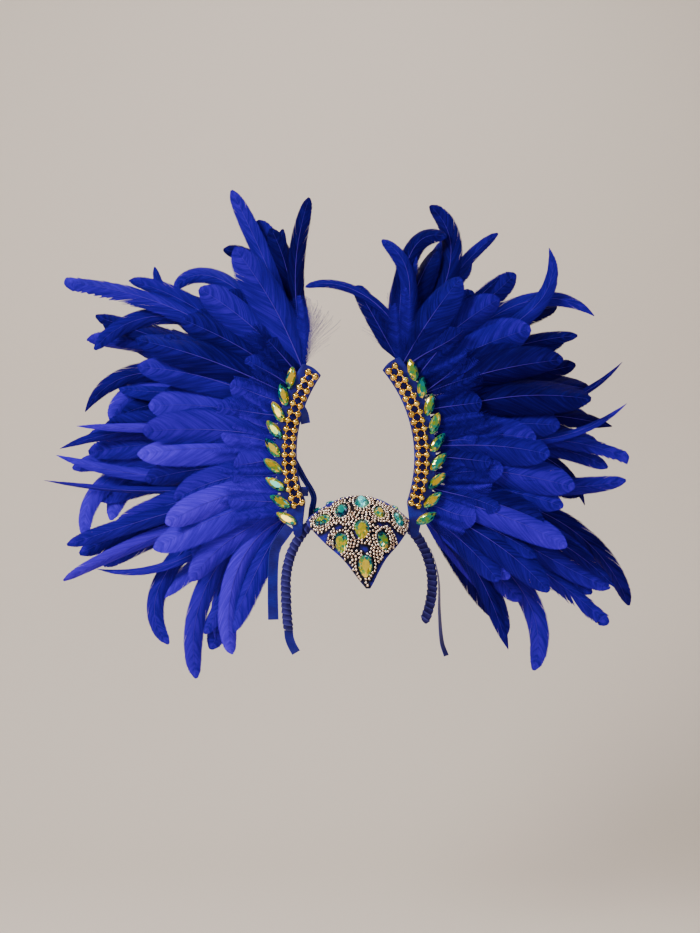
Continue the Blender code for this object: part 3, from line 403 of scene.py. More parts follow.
# Forehead peak: a felt plate domed over the brow and covered with blue velvet, sewn to the
# front of the band. Its edge shows as a plain margin round the jewels.
PEAK_THICKNESS = 0.0025
PEAK_HALF_WIDTH = 0.056
PEAK_CREST_FORWARD = 0.022
PEAK_CREST_RISE = 0.0145
PEAK_PROFILE_RADIUS = 0.143
PEAK_CREST_SLOPE = math.radians(27.0)
PEAK_TIP_SLOPE = math.radians(77.0)
PEAK_SIDE_DROP = 0.027
PEAK_PLAN_RADIUS = 0.120
PEAK_SHIFT_TOP = 0.0028
PEAK_SHIFT_TIP = 0.0125
PEAK_SEAT_SHARE = 0.97
PEAK_COLUMNS = 36
PEAK_LENGTHWISE = 40
PEAK_SEAT_STEPS = 4
PEAK_ROWS = (
    {"along": 0.00, "half_width": 1.00, "drop": 1.00},
    {"along": 0.10, "half_width": 0.98, "drop": 0.98},
    {"along": 0.22, "half_width": 0.88, "drop": 0.94},
    {"along": 0.40, "half_width": 0.68, "drop": 0.80},
    {"along": 0.60, "half_width": 0.40, "drop": 0.60},
    {"along": 0.80, "half_width": 0.19, "drop": 0.38},
    {"along": 1.00, "half_width": 0.04, "drop": 0.00},
)


def read_rows(rows, along, column):
    """A column of a table at any place between its rows, on a smooth curve through them."""
    i = 1
    while i < len(rows) - 1 and rows[i]["along"] < along:
        i += 1
    low, high = rows[i - 1], rows[i]
    before, after = rows[max(0, i - 2)], rows[min(len(rows) - 1, i + 1)]
    gap = high["along"] - low["along"]
    share = (along - low["along"]) / gap
    rise_low = (high[column] - before[column]) / (high["along"] - before["along"]) * gap
    rise_high = (after[column] - low[column]) / (after["along"] - low["along"]) * gap
    s2, s3 = share ** 2, share ** 3
    return ((2 * s3 - 3 * s2 + 1) * low[column] + (s3 - 2 * s2 + share) * rise_low
            + (3 * s2 - 2 * s3) * high[column] + (s3 - s2) * rise_high)


def peak_point(along, across):
    slope = PEAK_CREST_SLOPE + (PEAK_TIP_SLOPE - PEAK_CREST_SLOPE) * along
    forward = PEAK_CREST_FORWARD
    forward += PEAK_PROFILE_RADIUS * (math.sin(slope) - math.sin(PEAK_CREST_SLOPE))
    rise = PEAK_CREST_RISE
    rise -= PEAK_PROFILE_RADIUS * (math.cos(PEAK_CREST_SLOPE) - math.cos(slope))
    shift = PEAK_SHIFT_TOP + (PEAK_SHIFT_TIP - PEAK_SHIFT_TOP) * along
    x = PEAK_HALF_WIDTH * read_rows(PEAK_ROWS, along, "half_width") * across
    sink = PEAK_SIDE_DROP * read_rows(PEAK_ROWS, along, "drop") * across ** 2
    return Vector((shift + x, x * x / (2.0 * PEAK_PLAN_RADIUS) - forward, rise - sink))


def domed_felt(i, j):
    across = 2.0 * i / PEAK_COLUMNS - 1.0
    if j >= PEAK_SEAT_STEPS:
        return peak_point((j - PEAK_SEAT_STEPS) / PEAK_LENGTHWISE, across)
    lift = (BAND_RADIUS + 0.0006) * math.sqrt(0.5)
    x = PEAK_HALF_WIDTH * PEAK_SEAT_SHARE * across + PEAK_SHIFT_TOP
    seat = band_point(x) + band_normal(x) * lift - Vector((0.0, lift, 0.0))
    share = j / PEAK_SEAT_STEPS
    return seat.lerp(peak_point(0.0, across), share)


peak = bent_grid("peak_velvet", PEAK_COLUMNS, PEAK_SEAT_STEPS + PEAK_LENGTHWISE, domed_felt)
bpy.ops.object.mode_set(mode="EDIT")
bpy.ops.mesh.select_all(action="SELECT")
bpy.ops.mesh.normals_make_consistent(inside=False)
bpy.ops.object.mode_set(mode="OBJECT")
if peak.data.polygons[len(peak.data.polygons) // 2].normal.y > 0.0:
    peak.data.flip_normals()
wall = peak.modifiers.new("felt_wall", "SOLIDIFY")
wall.thickness = PEAK_THICKNESS
wall.offset = 1.0
wall.use_even_offset = True
bpy.ops.object.modifier_apply(modifier="felt_wall")
rim = peak.modifiers.new("soft_rim", "BEVEL")
rim.width = 0.0009
rim.segments = 2
rim.limit_method = "ANGLE"
rim.angle_limit = math.radians(50.0)
bpy.ops.object.modifier_apply(modifier="soft_rim")
tidy_skin(peak, smooth=math.radians(60.0))

peak_velvet = Finish("peak_velvet", Roughness=0.80, Sheen_Weight=0.20, Sheen_Roughness=0.4,
                     Sheen_Tint=(0.2, 0.25, 1.0, 1.0), Specular_IOR_Level=0.15)
nap = peak_velvet.grain(peak_velvet.place(), 420.0, 4.0)
patch = peak_velvet.grain(peak_velvet.place(), 60.0, 2.0)
bare = peak_velvet.ramp(nap * 0.6 + patch * 0.4, (0.30, (0.0040, 0.0010, 0.070)),
                        (0.55, (0.0130, 0.0050, 0.220)), (0.75, (0.0300, 0.0180, 0.420)))
# Painted shade: the velvet is painted near black where the ball chain lies over it, for the shade in the
# gaps between the balls.
peak_velvet.colour(peak_velvet.mix(peak_velvet.mark("glue"), bare, (0.0020, 0.0010, 0.005, 1.0)))
peak_velvet.bump(nap, 0.0003, 0.6)
settle(peak, peak_velvet, "felt", "peak_plate")
peak_skin = BVHTree.FromPolygons([point.co for point in peak.data.vertices],
                                 [face.vertices for face in peak.data.polygons])


# Cut stones of the peak: foiled glass ovals and pears with a flat table, a ring of crown
# facets and a rainbow coat, glued to the velvet. The upper ones are teal, the lower ones green
# turning to yellow.
STONE_HEIGHT = 0.0050
STONE_GIRDLE = 0.0012
PEAK_STONE_LENGTH = 0.0250
PEAK_STONE_WIDTH = 0.0168
# In each row, the angle of the glint side is where the stone's facets are painted brighter and warmer, as
# painted reflection.
PEAK_STONES = (
    {"turn": 0, "size": 0.96, "point": 0.00, "coat": "teal", "glow": 200, "warmth": 0.02},
    {"turn": 18, "size": 0.88, "point": 0.05, "coat": "teal", "glow": 30, "warmth": -0.10},
    {"turn": -20, "size": 0.78, "point": 0.35, "coat": "rainbow", "glow": 160, "warmth": 0.02},
    {"turn": 68, "size": 0.90, "point": 0.15, "coat": "rainbow", "glow": 240, "warmth": -0.10},
    {"turn": -28, "size": 0.86, "point": 0.00, "coat": "teal", "glow": 120, "warmth": 0.00},
    {"turn": 180, "size": 1.04, "point": 0.42, "coat": "rainbow", "glow": 0, "warmth": 0.10},
    {"turn": -160, "size": 1.02, "point": 0.25, "coat": "rainbow", "glow": 20, "warmth": 0.00},
    {"turn": 172, "size": 0.94, "point": 0.20, "coat": "rainbow", "glow": 10, "warmth": -0.05},
    {"turn": 180, "size": 1.00, "point": 0.36, "coat": "rainbow", "glow": 320, "warmth": 0.14},
)
STONE_SIDES = 16
TABLE_LEAN = 0.15
STONE_STEPS = (
    {"level": 0.00, "share": 0.90, "half": 0.0},
    {"level": 0.24, "share": 1.00, "half": 0.0},
    {"level": 0.32, "share": 0.99, "half": 0.0},
    {"level": 0.68, "share": 0.80, "half": 0.5},
    {"level": 1.00, "share": 0.52, "half": 0.0},
)


def stone_outline(turn, length, width, point, foot=0.0):
    """Outline of an oval that narrows by its point share towards +X and its foot share to -X."""
    along = math.cos(turn)
    belly = 1.0 + 0.12 * point - point * (0.5 + 0.5 * along) ** 1.5
    belly += 0.12 * foot - foot * (0.5 - 0.5 * along) ** 1.5
    return 0.5 * length * along, 0.5 * width * math.sin(turn) * max(0.05, belly)


def standing_frame(origin, along, up):
    """Placement with Z up one direction and X as near another as it can be."""
    up = up.normalized()
    along = (along - up * along.dot(up)).normalized()
    return Matrix.Translation(origin) @ Matrix((along, up.cross(along), up)).transposed().to_4x4()


def cut_stone(name, place, length, width, height, point, glow, warmth, sides=STONE_SIDES,
              foot=0.0):
    """A faceted stone, flat at the back. Each facet keeps its place on the coat's rainbow in 'facet',
    which also paints reflections: facets are painted warmer and brighter towards the glint side, given in
    degrees from the long axis, and darker and cooler at the rim."""
    bpy.ops.object.select_all(action="DESELECT")
    bpy.ops.mesh.primitive_cylinder_add(vertices=sides, radius=1.0, depth=1.0,
                                        end_fill_type="NGON")
    stone = bpy.context.object
    stone.name = name
    bpy.ops.object.mode_set(mode="EDIT")
    bpy.ops.mesh.select_mode(type="FACE")
    bpy.ops.mesh.select_all(action="DESELECT")
    bpy.ops.object.mode_set(mode="OBJECT")
    for face in stone.data.polygons:
        face.select = face.normal.z > 0.9
    bpy.ops.object.mode_set(mode="EDIT")
    for step in STONE_STEPS[2:]:
        bpy.ops.mesh.extrude_region_move(TRANSFORM_OT_translate={"value": (0.0, 0.0, 1.0)})
    bpy.ops.object.mode_set(mode="OBJECT")
    dice = random.Random(name)
    leaning = dice.uniform(0.0, 2.0 * math.pi)
    for spot in stone.data.vertices:
        step = STONE_STEPS[round(spot.co.z + 0.5)]
        turn = math.atan2(spot.co.y, spot.co.x) + step["half"] * 2.0 * math.pi / sides
        x, y = stone_outline(turn, length, width, point, foot)
        spot.co = (x * step["share"], y * step["share"], height * step["level"])
        if step["level"] == 1.0:
            spot.co.z += TABLE_LEAN * (spot.co.x * math.cos(leaning) + spot.co.y * math.sin(leaning))
    bpy.ops.object.mode_set(mode="EDIT")
    bpy.ops.mesh.select_all(action="DESELECT")
    bpy.ops.object.mode_set(mode="OBJECT")
    for face in stone.data.polygons:
        face.select = face.center.z > 0.3 * height and len(face.vertices) == 4
    bpy.ops.object.mode_set(mode="EDIT")
    bpy.ops.mesh.quads_convert_to_tris(quad_method="FIXED", ngon_method="BEAUTY")
    bpy.ops.object.mode_set(mode="OBJECT")
    # Painted reflections: the facet values rise towards the glint side and fall towards the rim.
    bright = Vector((math.cos(math.radians(glow)), math.sin(math.radians(glow)), 0.0))
    values = []
    for face in stone.data.polygons:
        out = math.hypot(face.center.x / length, face.center.y / width) * 2.0
        values.append(0.60 + warmth + 0.44 * face.center.dot(bright) / (0.5 * length)
                      - 0.26 * out + dice.uniform(-0.40, 0.34))
    facets = stone.data.attributes.new("facet", "FLOAT", "FACE")
    facets.data.foreach_set("value", values)
    bpy.ops.object.shade_flat()
    stone.data.transform(place)
    return stone


# Each coat's ramp starts near black, which paints the darkest facets as if they reflected shade; the rest
# runs through the coat's own colours.
COATS = {
    "teal": ((0.10, (0.001, 0.008, 0.040)), (0.30, (0.000, 0.060, 0.120)),
             (0.48, (0.000, 0.190, 0.230)), (0.66, (0.010, 0.420, 0.330)),
             (0.86, (0.250, 0.750, 0.500))),
    "rainbow": ((0.08, (0.002, 0.010, 0.030)), (0.22, (0.000, 0.080, 0.150)),
                (0.35, (0.000, 0.300, 0.300)), (0.47, (0.030, 0.340, 0.110)),
                (0.58, (0.260, 0.400, 0.020)), (0.72, (0.820, 0.500, 0.010)),
                (0.95, (1.000, 0.720, 0.060))),
}


def foiled_glass(coat):
    """Cut glass over foil: hard-edged patches of one rainbow, a place on it to each facet, mixed with
    painted reflections of the back facets seen through the glass.
    """
    glass = Finish("cut_glass_" + coat, Roughness=0.06, Metallic=0.60, Coat_Weight=0.3,
                   Coat_Roughness=0.02)
    # Painted reflection: the Voronoi cells paint the look of back facets seen through the glass.
    painted_facet_reflections = glass.node("ShaderNodeTexVoronoi", {"feature": "F1", "distance": "MANHATTAN"},
                          {"Vector": glass.place(), "Scale": 260.0}, out="Color")
    split = glass.node("ShaderNodeSeparateColor", None, {"Color": painted_facet_reflections})
    glass.colour(glass.ramp(glass.mark("facet") * 0.80 + split * 0.20, *COATS[coat]))
    return glass


glass = {coat: foiled_glass(coat) for coat in COATS}
peak_settings = []
for number, row in enumerate(PEAK_STONES, 1):
    low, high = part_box("peak_stone_%d" % number)
    middle = (Vector(low) + Vector(high)) / 2.0
    spot, normal, index, gap = peak_skin.find_nearest(middle)
    normal = normal if normal.y < 0.0 else -normal
    for dx, dz in ((-1, 0), (1, 0), (0, -1), (0, 1)):
        beside = middle + Vector((dx, 0.0, dz)) * 0.006
        tilt = peak_skin.find_nearest(beside)[1]
        normal += tilt if tilt.y < 0.0 else -tilt
    normal.normalize()
    heading = math.radians(row["turn"])
    along = Vector((-math.sin(heading), 0.0, math.cos(heading)))
    seat = middle - normal * STONE_HEIGHT * 0.45
    place = standing_frame(seat, along, normal)
    length = PEAK_STONE_LENGTH * row["size"]
    width = PEAK_STONE_WIDTH * row["size"]
    peak_settings.append({"place": place, "length": length, "width": width,
                          "point": row["point"]})
    stone = cut_stone("peak_jewel_%d" % number, place, length, width, STONE_HEIGHT,
                      row["point"], row["glow"], row["warmth"])
    slot = "teal_stone" if number < 6 else "stone"
    settle(stone, glass[row["coat"]], slot, "peak_stone_%d" % number)


# Ball chain round the peak's stones: small rose-gold balls glued side by side, row after row
# out from each stone until they meet. Three patches of the velvet stay bare between them.
BALL_RADIUS = 0.00172
BALL_PITCH = 0.0040
BALL_NEAREST = 0.0035
CHAIN_ROWS = (0.0021, 0.0058)
BALL_EDGE = {"left": 0.0026, "right": 0.0024, "below": 0.0032}
BARE_EDGE = {"right": 0.0050, "top": -0.043}
FILL_STEP = 0.0008
FILL_REACH = 0.0098
BARE_PATCHES = (
    {"x": -0.0195, "z": -0.0165, "half_width": 0.0075, "half_height": 0.0028},
    {"x": 0.0290, "z": -0.0140, "half_width": 0.0075, "half_height": 0.0028},
    {"x": 0.0075, "z": -0.0385, "half_width": 0.0085, "half_height": 0.0034},
)


def jewel_gap(setting, spot):
    """How far a point in a stone's own plane lies outside its outline, below 0 inside it."""
    flat = setting["place"].inverted() @ spot
    turn = math.atan2(flat.y / setting["width"], flat.x / setting["length"])
    x, y = stone_outline(turn, setting["length"], setting["width"], setting["point"])
    return math.hypot(flat.x, flat.y) - math.hypot(x, y)


def ball_fits(centre, laid):
    """Whether a ball's place is free of other balls, stones, bare patches and the rim."""
    if any((other - centre).length < BALL_NEAREST for other in laid):
        return False
    if any(jewel_gap(setting, centre) < 0.0010 for setting in peak_settings):
        return False
    for patch in BARE_PATCHES:
        dx = (centre.x - patch["x"]) / patch["half_width"]
        dz = (centre.z - patch["z"]) / patch["half_height"]
        if dx * dx + dz * dz < 1.0:
            return False
    right = BARE_EDGE["right"] if centre.z < BARE_EDGE["top"] else BALL_EDGE["right"]
    for dx, dz in ((0, 0), (-BALL_EDGE["left"], 0), (right, 0), (0, -BALL_EDGE["below"])):
        beside = Vector((centre.x + dx, -1.0, centre.z + dz))
        if peak_skin.ray_cast(beside, Vector((0.0, 1.0, 0.0)))[0] is None:
            return False
    return True


bpy.ops.object.select_all(action="DESELECT")
bpy.ops.mesh.primitive_uv_sphere_add(segments=8, ring_count=6, radius=BALL_RADIUS)
ball = bpy.context.object
bpy.ops.object.shade_smooth()

def ring_round(setting, reach):
    """Evenly spaced places on a ring that keeps its distance from a stone's outline."""
    steps = 180
    outline = [Vector(stone_outline(2.0 * math.pi * i / steps, setting["length"],
                                    setting["width"], setting["point"])) for i in range(steps)]
    ring = []
    for i, spot in enumerate(outline):
        ahead = outline[(i + 1) % steps] - outline[i - 1]
        ring.append(spot + Vector((ahead.y, -ahead.x)).normalized() * reach)
    gone = [0.0]
    for i in range(steps):
        gone.append(gone[-1] + (ring[(i + 1) % steps] - ring[i]).length)
    count = round(gone[-1] / BALL_PITCH)
    places = []
    for k in range(count):
        i = max(j for j in range(steps) if gone[j] <= gone[-1] * k / count)
        places.append(ring[i])
    return places


chains = [[] for setting in peak_settings]
balls_laid = []
for reach in CHAIN_ROWS:
    for number, setting in enumerate(peak_settings):
        for x, y in ring_round(setting, reach):
            above = setting["place"] @ Vector((x, y, STONE_HEIGHT))
            spot, normal, index, gap = peak_skin.find_nearest(above)
            normal = normal if normal.y < 0.0 else -normal
            centre = spot + normal * BALL_RADIUS * 0.85
            if ball_fits(centre, balls_laid):
                balls_laid.append(centre)
                chains[number].append(centre)
peak_low, peak_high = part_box("peak_plate")
for i in range(int((peak_high[2] - peak_low[2]) / FILL_STEP)):
    for j in range(int((peak_high[0] - peak_low[0]) / FILL_STEP)):
        x = peak_low[0] + FILL_STEP * j
        z = peak_high[2] - FILL_STEP * i
        hit = peak_skin.ray_cast(Vector((x, -1.0, z)), Vector((0.0, 1.0, 0.0)))
        if hit[0] is None or hit[1].y > -0.3:
            continue
        centre = hit[0] + hit[1] * BALL_RADIUS * 0.85
        gaps = [jewel_gap(setting, centre) for setting in peak_settings]
        if min(gaps) < FILL_REACH and ball_fits(centre, balls_laid):
            balls_laid.append(centre)
            chains[gaps.index(min(gaps))].append(centre)
for number, laid in enumerate(chains):
    copies = []
    for centre in laid:
        copy = ball.copy()
        copy.data = ball.data.copy()
        copy.data.transform(Matrix.Translation(centre))
        bpy.context.collection.objects.link(copy)
        copies.append(copy)
    bpy.ops.object.select_all(action="DESELECT")
    for copy in copies:
        copy.select_set(True)
    bpy.context.view_layer.objects.active = copies[0]
    bpy.ops.object.join()
    copies[0].name = "ball_chain_%d" % (number + 1)
    peak_settings[number]["chain"] = copies[0]
bpy.data.objects.remove(ball, do_unlink=True)

# Painted shade under the ball chain: velvet points close under a ball get a value that paints them near
# black.
glue = peak.data.attributes.new("glue", "FLOAT", "POINT")
covered = []
for point in peak.data.vertices:
    nearest = min((centre - point.co).length for centre in balls_laid)
    covered.append(max(0.0, min(1.0, (0.0050 - nearest) / 0.0015)))
glue.data.foreach_set("value", covered)
rose_gold = Finish("rose_gold_balls", Metallic=1.0, Coat_Weight=0.3)
tarnish = rose_gold.grain(rose_gold.place(), 240.0, 2.0)
rose_gold.colour(rose_gold.ramp(tarnish, (0.30, (0.42, 0.25, 0.17)), (0.50, (0.80, 0.60, 0.46)),
                                (0.70, (0.98, 0.86, 0.76))))
rose_gold.feed("Roughness", rose_gold.grain(rose_gold.place(), 500.0) * 0.16 + 0.06)
for number, setting in enumerate(peak_settings, 1):
    settle(setting["chain"], rose_gold, "rose_gold", "peak_ring_%d" % number)


# Crown strip: a narrow felt strip glued over the band behind the peak, with a row of small
# oval stones that show along its top.
CROWN_COUNT = 7
CROWN_LENGTH = 0.0110
CROWN_WIDTH = 0.0075
CROWN_HEIGHT = 0.0036
CROWN_STRIP_WIDTH = 0.0080
CROWN_STRIP_THICKNESS = 0.0010
CROWN_HALF_SPAN = 0.047
CROWN_SET_BACK = 0.0010
STRIP_COLUMNS = 6
STRIP_LENGTHWISE = 60


def crown_seat(across, lift):
    """A point over the band's top, lifted off its wrapping."""
    spot = band_point(across) + band_normal(across) * (BAND_RADIUS + 0.0003 + lift)
    return spot + Vector((0.0, CROWN_SET_BACK, 0.0))


def felt_strip(i, j):
    span = CROWN_HALF_SPAN * (2.0 * j / STRIP_LENGTHWISE - 1.0)
    width = CROWN_STRIP_WIDTH * (i / STRIP_COLUMNS - 0.5)
    return crown_seat(span, CROWN_STRIP_THICKNESS) + Vector((0.0, width, 0.0))


strip = bent_grid("crown_strip", STRIP_COLUMNS, STRIP_LENGTHWISE, felt_strip)
if strip.data.polygons[0].normal.z < 0.0:
    strip.data.flip_normals()
wall = strip.modifiers.new("felt_wall", "SOLIDIFY")
wall.thickness = CROWN_STRIP_THICKNESS
wall.offset = -1.0
bpy.ops.object.modifier_apply(modifier="felt_wall")
tidy_skin(strip, smooth=math.radians(60.0))
settle(strip, peak_velvet, "felt")

ovals = []
for i in range(CROWN_COUNT):
    across = CROWN_HALF_SPAN * (-1.0 + (2.0 * i + 1.0) / CROWN_COUNT)
    normal = band_normal(across)
    along = Vector((normal.z, 0.0, -normal.x))
    place = standing_frame(crown_seat(across, CROWN_STRIP_THICKNESS), along, normal)
    ovals.append(cut_stone("crown_oval_%d" % i, place, CROWN_LENGTH, CROWN_WIDTH, CROWN_HEIGHT,
                           0.0, 50.0 * i, 0.1))
bpy.ops.object.select_all(action="DESELECT")
for oval in ovals:
    oval.select_set(True)
bpy.context.view_layer.objects.active = ovals[0]
bpy.ops.object.join()
ovals[0].name = "crown_ovals"
settle(ovals[0], glass["teal"], "teal_stone", "crown_stones")


# Horns: two curved felt plates faced with bright satin, sewn upright to the band. Each one
# leans in at its top and laps over the band at its foot.
HORN_RADIUS = 0.158
HORN_THICKNESS = 0.0025
HORN_INNER_MARGIN = 0.0048
HORN_OUTER_MARGIN = 0.0200
HORN_END_MARGIN = 0.0050
HORN_BACK = -(BAND_RADIUS + 0.0003)
HORN_FRONT = HORN_BACK - HORN_THICKNESS
BEAD_PITCH = 0.0093
HORNS = {
    "left": {"lean": 6.0, "foot_x": 0.0615, "foot_z": 0.0085, "rows": 17},
    "right": {"lean": 9.5, "foot_x": 0.0620, "foot_z": 0.0080, "rows": 18},
}
HORN_COLUMNS = 8
HORN_LENGTHWISE = 64
FOOT_SHARE = 0.16
FOOT_DROP = 0.041
FOOT_OUT = 0.0035
FOOT_WIDTH = 0.0105


def horn_angle(side, share):
    """Angle on a horn's arc for a share of its height, 0 at the first bead row."""
    sweep = (HORNS[side]["rows"] - 1) * BEAD_PITCH / HORN_RADIUS
    return math.radians(HORNS[side]["lean"]) + (share - 0.5) * sweep


def horn_point(side, angle, offset, y):
    """Point on a horn at an arc angle, offset outwards from its inner bead column."""
    facts = HORNS[side]
    start = horn_angle(side, 0.0)
    centre_x = facts["foot_x"] - HORN_RADIUS * math.cos(start)
    centre_z = facts["foot_z"] - HORN_RADIUS * math.sin(start)
    radius = HORN_RADIUS + offset
    return Vector((SIDES[side] * (centre_x + radius * math.cos(angle)), y,
                   centre_z + radius * math.sin(angle)))


def horn_outward(side, angle):
    return Vector((SIDES[side] * math.cos(angle), 0.0, math.sin(angle)))


def horn_sheet(side):
    """Places of one horn's face: an arc with a rounded top that narrows into its foot."""
    low = horn_angle(side, 0.0)
    high = horn_angle(side, 1.0) + HORN_END_MARGIN / HORN_RADIUS
    width = HORN_INNER_MARGIN + HORN_OUTER_MARGIN
    foot = horn_point(side, low, -HORN_INNER_MARGIN, HORN_FRONT)

    def place(i, j):
        across = i / HORN_COLUMNS
        up = j / HORN_LENGTHWISE
        if up > FOOT_SHARE:
            share = (up - FOOT_SHARE) / (1.0 - FOOT_SHARE)
            rounding = 0.10 * width * (1.0 - (2.0 * across - 0.9) ** 2) * share ** 6
            angle = low + (high - low) * share + rounding / HORN_RADIUS
            return horn_point(side, angle, -HORN_INNER_MARGIN + width * across, HORN_FRONT)
        share = up / FOOT_SHARE
        outer = horn_point(side, low, HORN_OUTER_MARGIN, HORN_FRONT)
        top = foot.lerp(outer, across)
        toe = foot + Vector((SIDES[side] * (FOOT_OUT + FOOT_WIDTH * across), 0.0, -FOOT_DROP))
        toe.z += 0.004 * (2.0 * across - 1.0) ** 2
        narrowing = share ** 1.6
        return toe.lerp(top, share).lerp(Vector((toe.x + (top.x - toe.x) * narrowing, 0.0,
                                                 toe.z + (top.z - toe.z) * share)), 1.0) \
            + Vector((0.0, HORN_FRONT, 0.0))
    return place


satin = Finish("bright_satin", Roughness=0.48, Specular_IOR_Level=0.25,
               Specular_Tint=(0.45, 0.45, 1.0, 1.0))
threads = satin.grain(satin.place(1.0, 1.0, 9.0), 900.0, 2.0)
cloud = satin.grain(satin.place(), 55.0, 3.0)
satin.colour(satin.ramp(threads * 0.45 + cloud * 0.55, (0.32, (0.004, 0.0010, 0.055)),
                        (0.50, (0.008, 0.0030, 0.130)), (0.68, (0.014, 0.0240, 0.300))))
satin.bump(threads, 0.0002, 0.5)
for side in SIDES:
    horn = bent_grid("horn_satin_" + side, HORN_COLUMNS, HORN_LENGTHWISE, horn_sheet(side))
    tidy_skin(horn)
    if horn.data.polygons[len(horn.data.polygons) // 2].normal.y > 0.0:
        horn.data.flip_normals()
    wall = horn.modifiers.new("felt_wall", "SOLIDIFY")
    wall.thickness = HORN_THICKNESS
    wall.offset = -1.0
    bpy.ops.object.modifier_apply(modifier="felt_wall")
    rim = horn.modifiers.new("soft_rim", "BEVEL")
    rim.width = 0.0008
    rim.segments = 2
    rim.limit_method = "ANGLE"
    rim.angle_limit = math.radians(50.0)
    bpy.ops.object.modifier_apply(modifier="soft_rim")
    tidy_skin(horn, smooth=math.radians(60.0))
    settle(horn, satin, "felt", "horn_plate_" + side)


# Gold bead ladders: two columns of round gold beads along each horn's inner edge, wired
# together across every row and glued to the satin.
BEAD_RADIUS = 0.0039
BEAD_SPACING = 0.0091
LINK_RADIUS = 0.0008

bpy.ops.object.select_all(action="DESELECT")
bpy.ops.mesh.primitive_uv_sphere_add(segments=20, ring_count=12, radius=BEAD_RADIUS)
bead = bpy.context.object
bpy.ops.object.shade_smooth()
bpy.ops.object.select_all(action="DESELECT")
bpy.ops.mesh.primitive_cylinder_add(vertices=8, radius=LINK_RADIUS, depth=BEAD_PITCH,
                                    end_fill_type="NOTHING")
link = bpy.context.object
bpy.ops.object.shade_smooth()


def copy_to(piece, place):
    """A copy of a repeated shape with its own mesh, put at its place."""
    copy = piece.copy()
    copy.data = piece.data.copy()
    copy.data.transform(place)
    bpy.context.collection.objects.link(copy)
    return copy


def join(pieces, name):
    bpy.ops.object.select_all(action="DESELECT")
    for piece in pieces:
        piece.select_set(True)
    bpy.context.view_layer.objects.active = pieces[0]
    bpy.ops.object.join()
    pieces[0].name = name
    return pieces[0]


gold = Finish("gold_plate", Metallic=1.0, Coat_Weight=0.25)
# Partly the gold's own uneven tone and partly painted reflection: the noise paints dark patches for dark
# surroundings mirrored in the beads.
tone_and_painted_reflection = gold.grain(gold.place(), 190.0, 3.0)
gold.colour(gold.ramp(tone_and_painted_reflection, (0.30, (0.30, 0.13, 0.012)), (0.50, (0.78, 0.46, 0.060)),
                      (0.70, (0.98, 0.72, 0.18))))
gold.feed("Roughness", gold.grain(gold.place(), 420.0) * 0.16 + 0.08)
for side in SIDES:
    laid = []
    last = HORNS[side]["rows"] - 1
    dice = random.Random("ladder " + side)
    for row in range(last + 1):
        y = HORN_FRONT - 0.0003 - BEAD_RADIUS
        angle = horn_angle(side, row / last)
        outward = horn_outward(side, angle)
        upward = Vector((-outward.z * SIDES[side], 0.0, abs(outward.x)))
        for offset in (0.0, BEAD_SPACING):
            stray = Vector((dice.uniform(-1, 1), 0.0, dice.uniform(-1, 1))) * 0.0003
            centre = horn_point(side, angle, offset, y) + stray
            turn = Euler((dice.uniform(0, 6), dice.uniform(0, 6), 0.0)).to_matrix().to_4x4()
            laid.append(copy_to(bead, Matrix.Translation(centre) @ turn))
            if row < last:
                middle = horn_point(side, horn_angle(side, (row + 0.5) / last), offset, y)
                laid.append(copy_to(link, standing_frame(middle, Vector((0.0, 1.0, 0.0)),
                                                         upward)))
        middle = horn_point(side, angle, BEAD_SPACING / 2.0, y)
        laid.append(copy_to(link, standing_frame(middle, Vector((0.0, 1.0, 0.0)), outward)))
    ladder = join(laid, "gold_ladder_" + side)
    settle(ladder, gold, "gold", "horn_beads_" + side)
bpy.data.objects.remove(bead, do_unlink=True)
bpy.data.objects.remove(link, do_unlink=True)


# Horn stones: nine rainbow-coated pears up each horn, their points fanned outwards over the
# feathers.
HORN_STONE_LENGTH = 0.0262
HORN_STONE_WIDTH = 0.0146
HORN_STONE_OFFSET = 0.0228
HORN_STONE_FIRST = math.radians(3.2)
HORN_STONE_LAST = math.radians(5.0)
HORN_STONES = {
    "left": (
        {"turn": 53, "warmth": 0.20}, {"turn": 47, "warmth": 0.00}, {"turn": 41, "warmth": 0.12},
        {"turn": 41, "warmth": 0.18}, {"turn": 50, "warmth": 0.10}, {"turn": 42, "warmth": 0.00},
        {"turn": 47, "warmth": 0.16}, {"turn": 55, "warmth": -0.02}, {"turn": 71, "warmth": 0.08},
    ),
    "right": (
        {"turn": 50, "warmth": 0.02}, {"turn": 56, "warmth": 0.04}, {"turn": 51, "warmth": 0.00},
        {"turn": 49, "warmth": 0.14}, {"turn": 46, "warmth": -0.06}, {"turn": 57, "warmth": 0.16},
        {"turn": 56, "warmth": 0.02}, {"turn": 64, "warmth": 0.00}, {"turn": 73, "warmth": 0.16},
    ),
}
for side in SIDES:
    rows = HORN_STONES[side]
    first = horn_angle(side, 0.0) - HORN_STONE_FIRST
    last = horn_angle(side, 1.0) - HORN_STONE_LAST
    for number, row in enumerate(rows, 1):
        angle = first + (last - first) * (number - 1) / (len(rows) - 1)
        seat = horn_point(side, angle, HORN_STONE_OFFSET, HORN_FRONT - 0.0003)
        heading = angle + math.radians(row["turn"])
        along = Vector((SIDES[side] * math.cos(heading), 0.0, math.sin(heading)))
        place = standing_frame(seat, along, Vector((0.0, -1.0, 0.0)))
        # The side of each horn stone where its facets are painted brighter and warmer, as painted
        # reflection.
        glow = SIDES[side] * (90.0 + 37.0 * (number % 3 - 1))
        stone = cut_stone("horn_jewel_%s_%d" % (side, number), place, HORN_STONE_LENGTH,
                          HORN_STONE_WIDTH, STONE_HEIGHT, 0.55, glow, row["warmth"], sides=12,
                          foot=0.34)
        settle(stone, glass["rainbow"], "stone", "horn_stone_%s_%d" % (side, number))


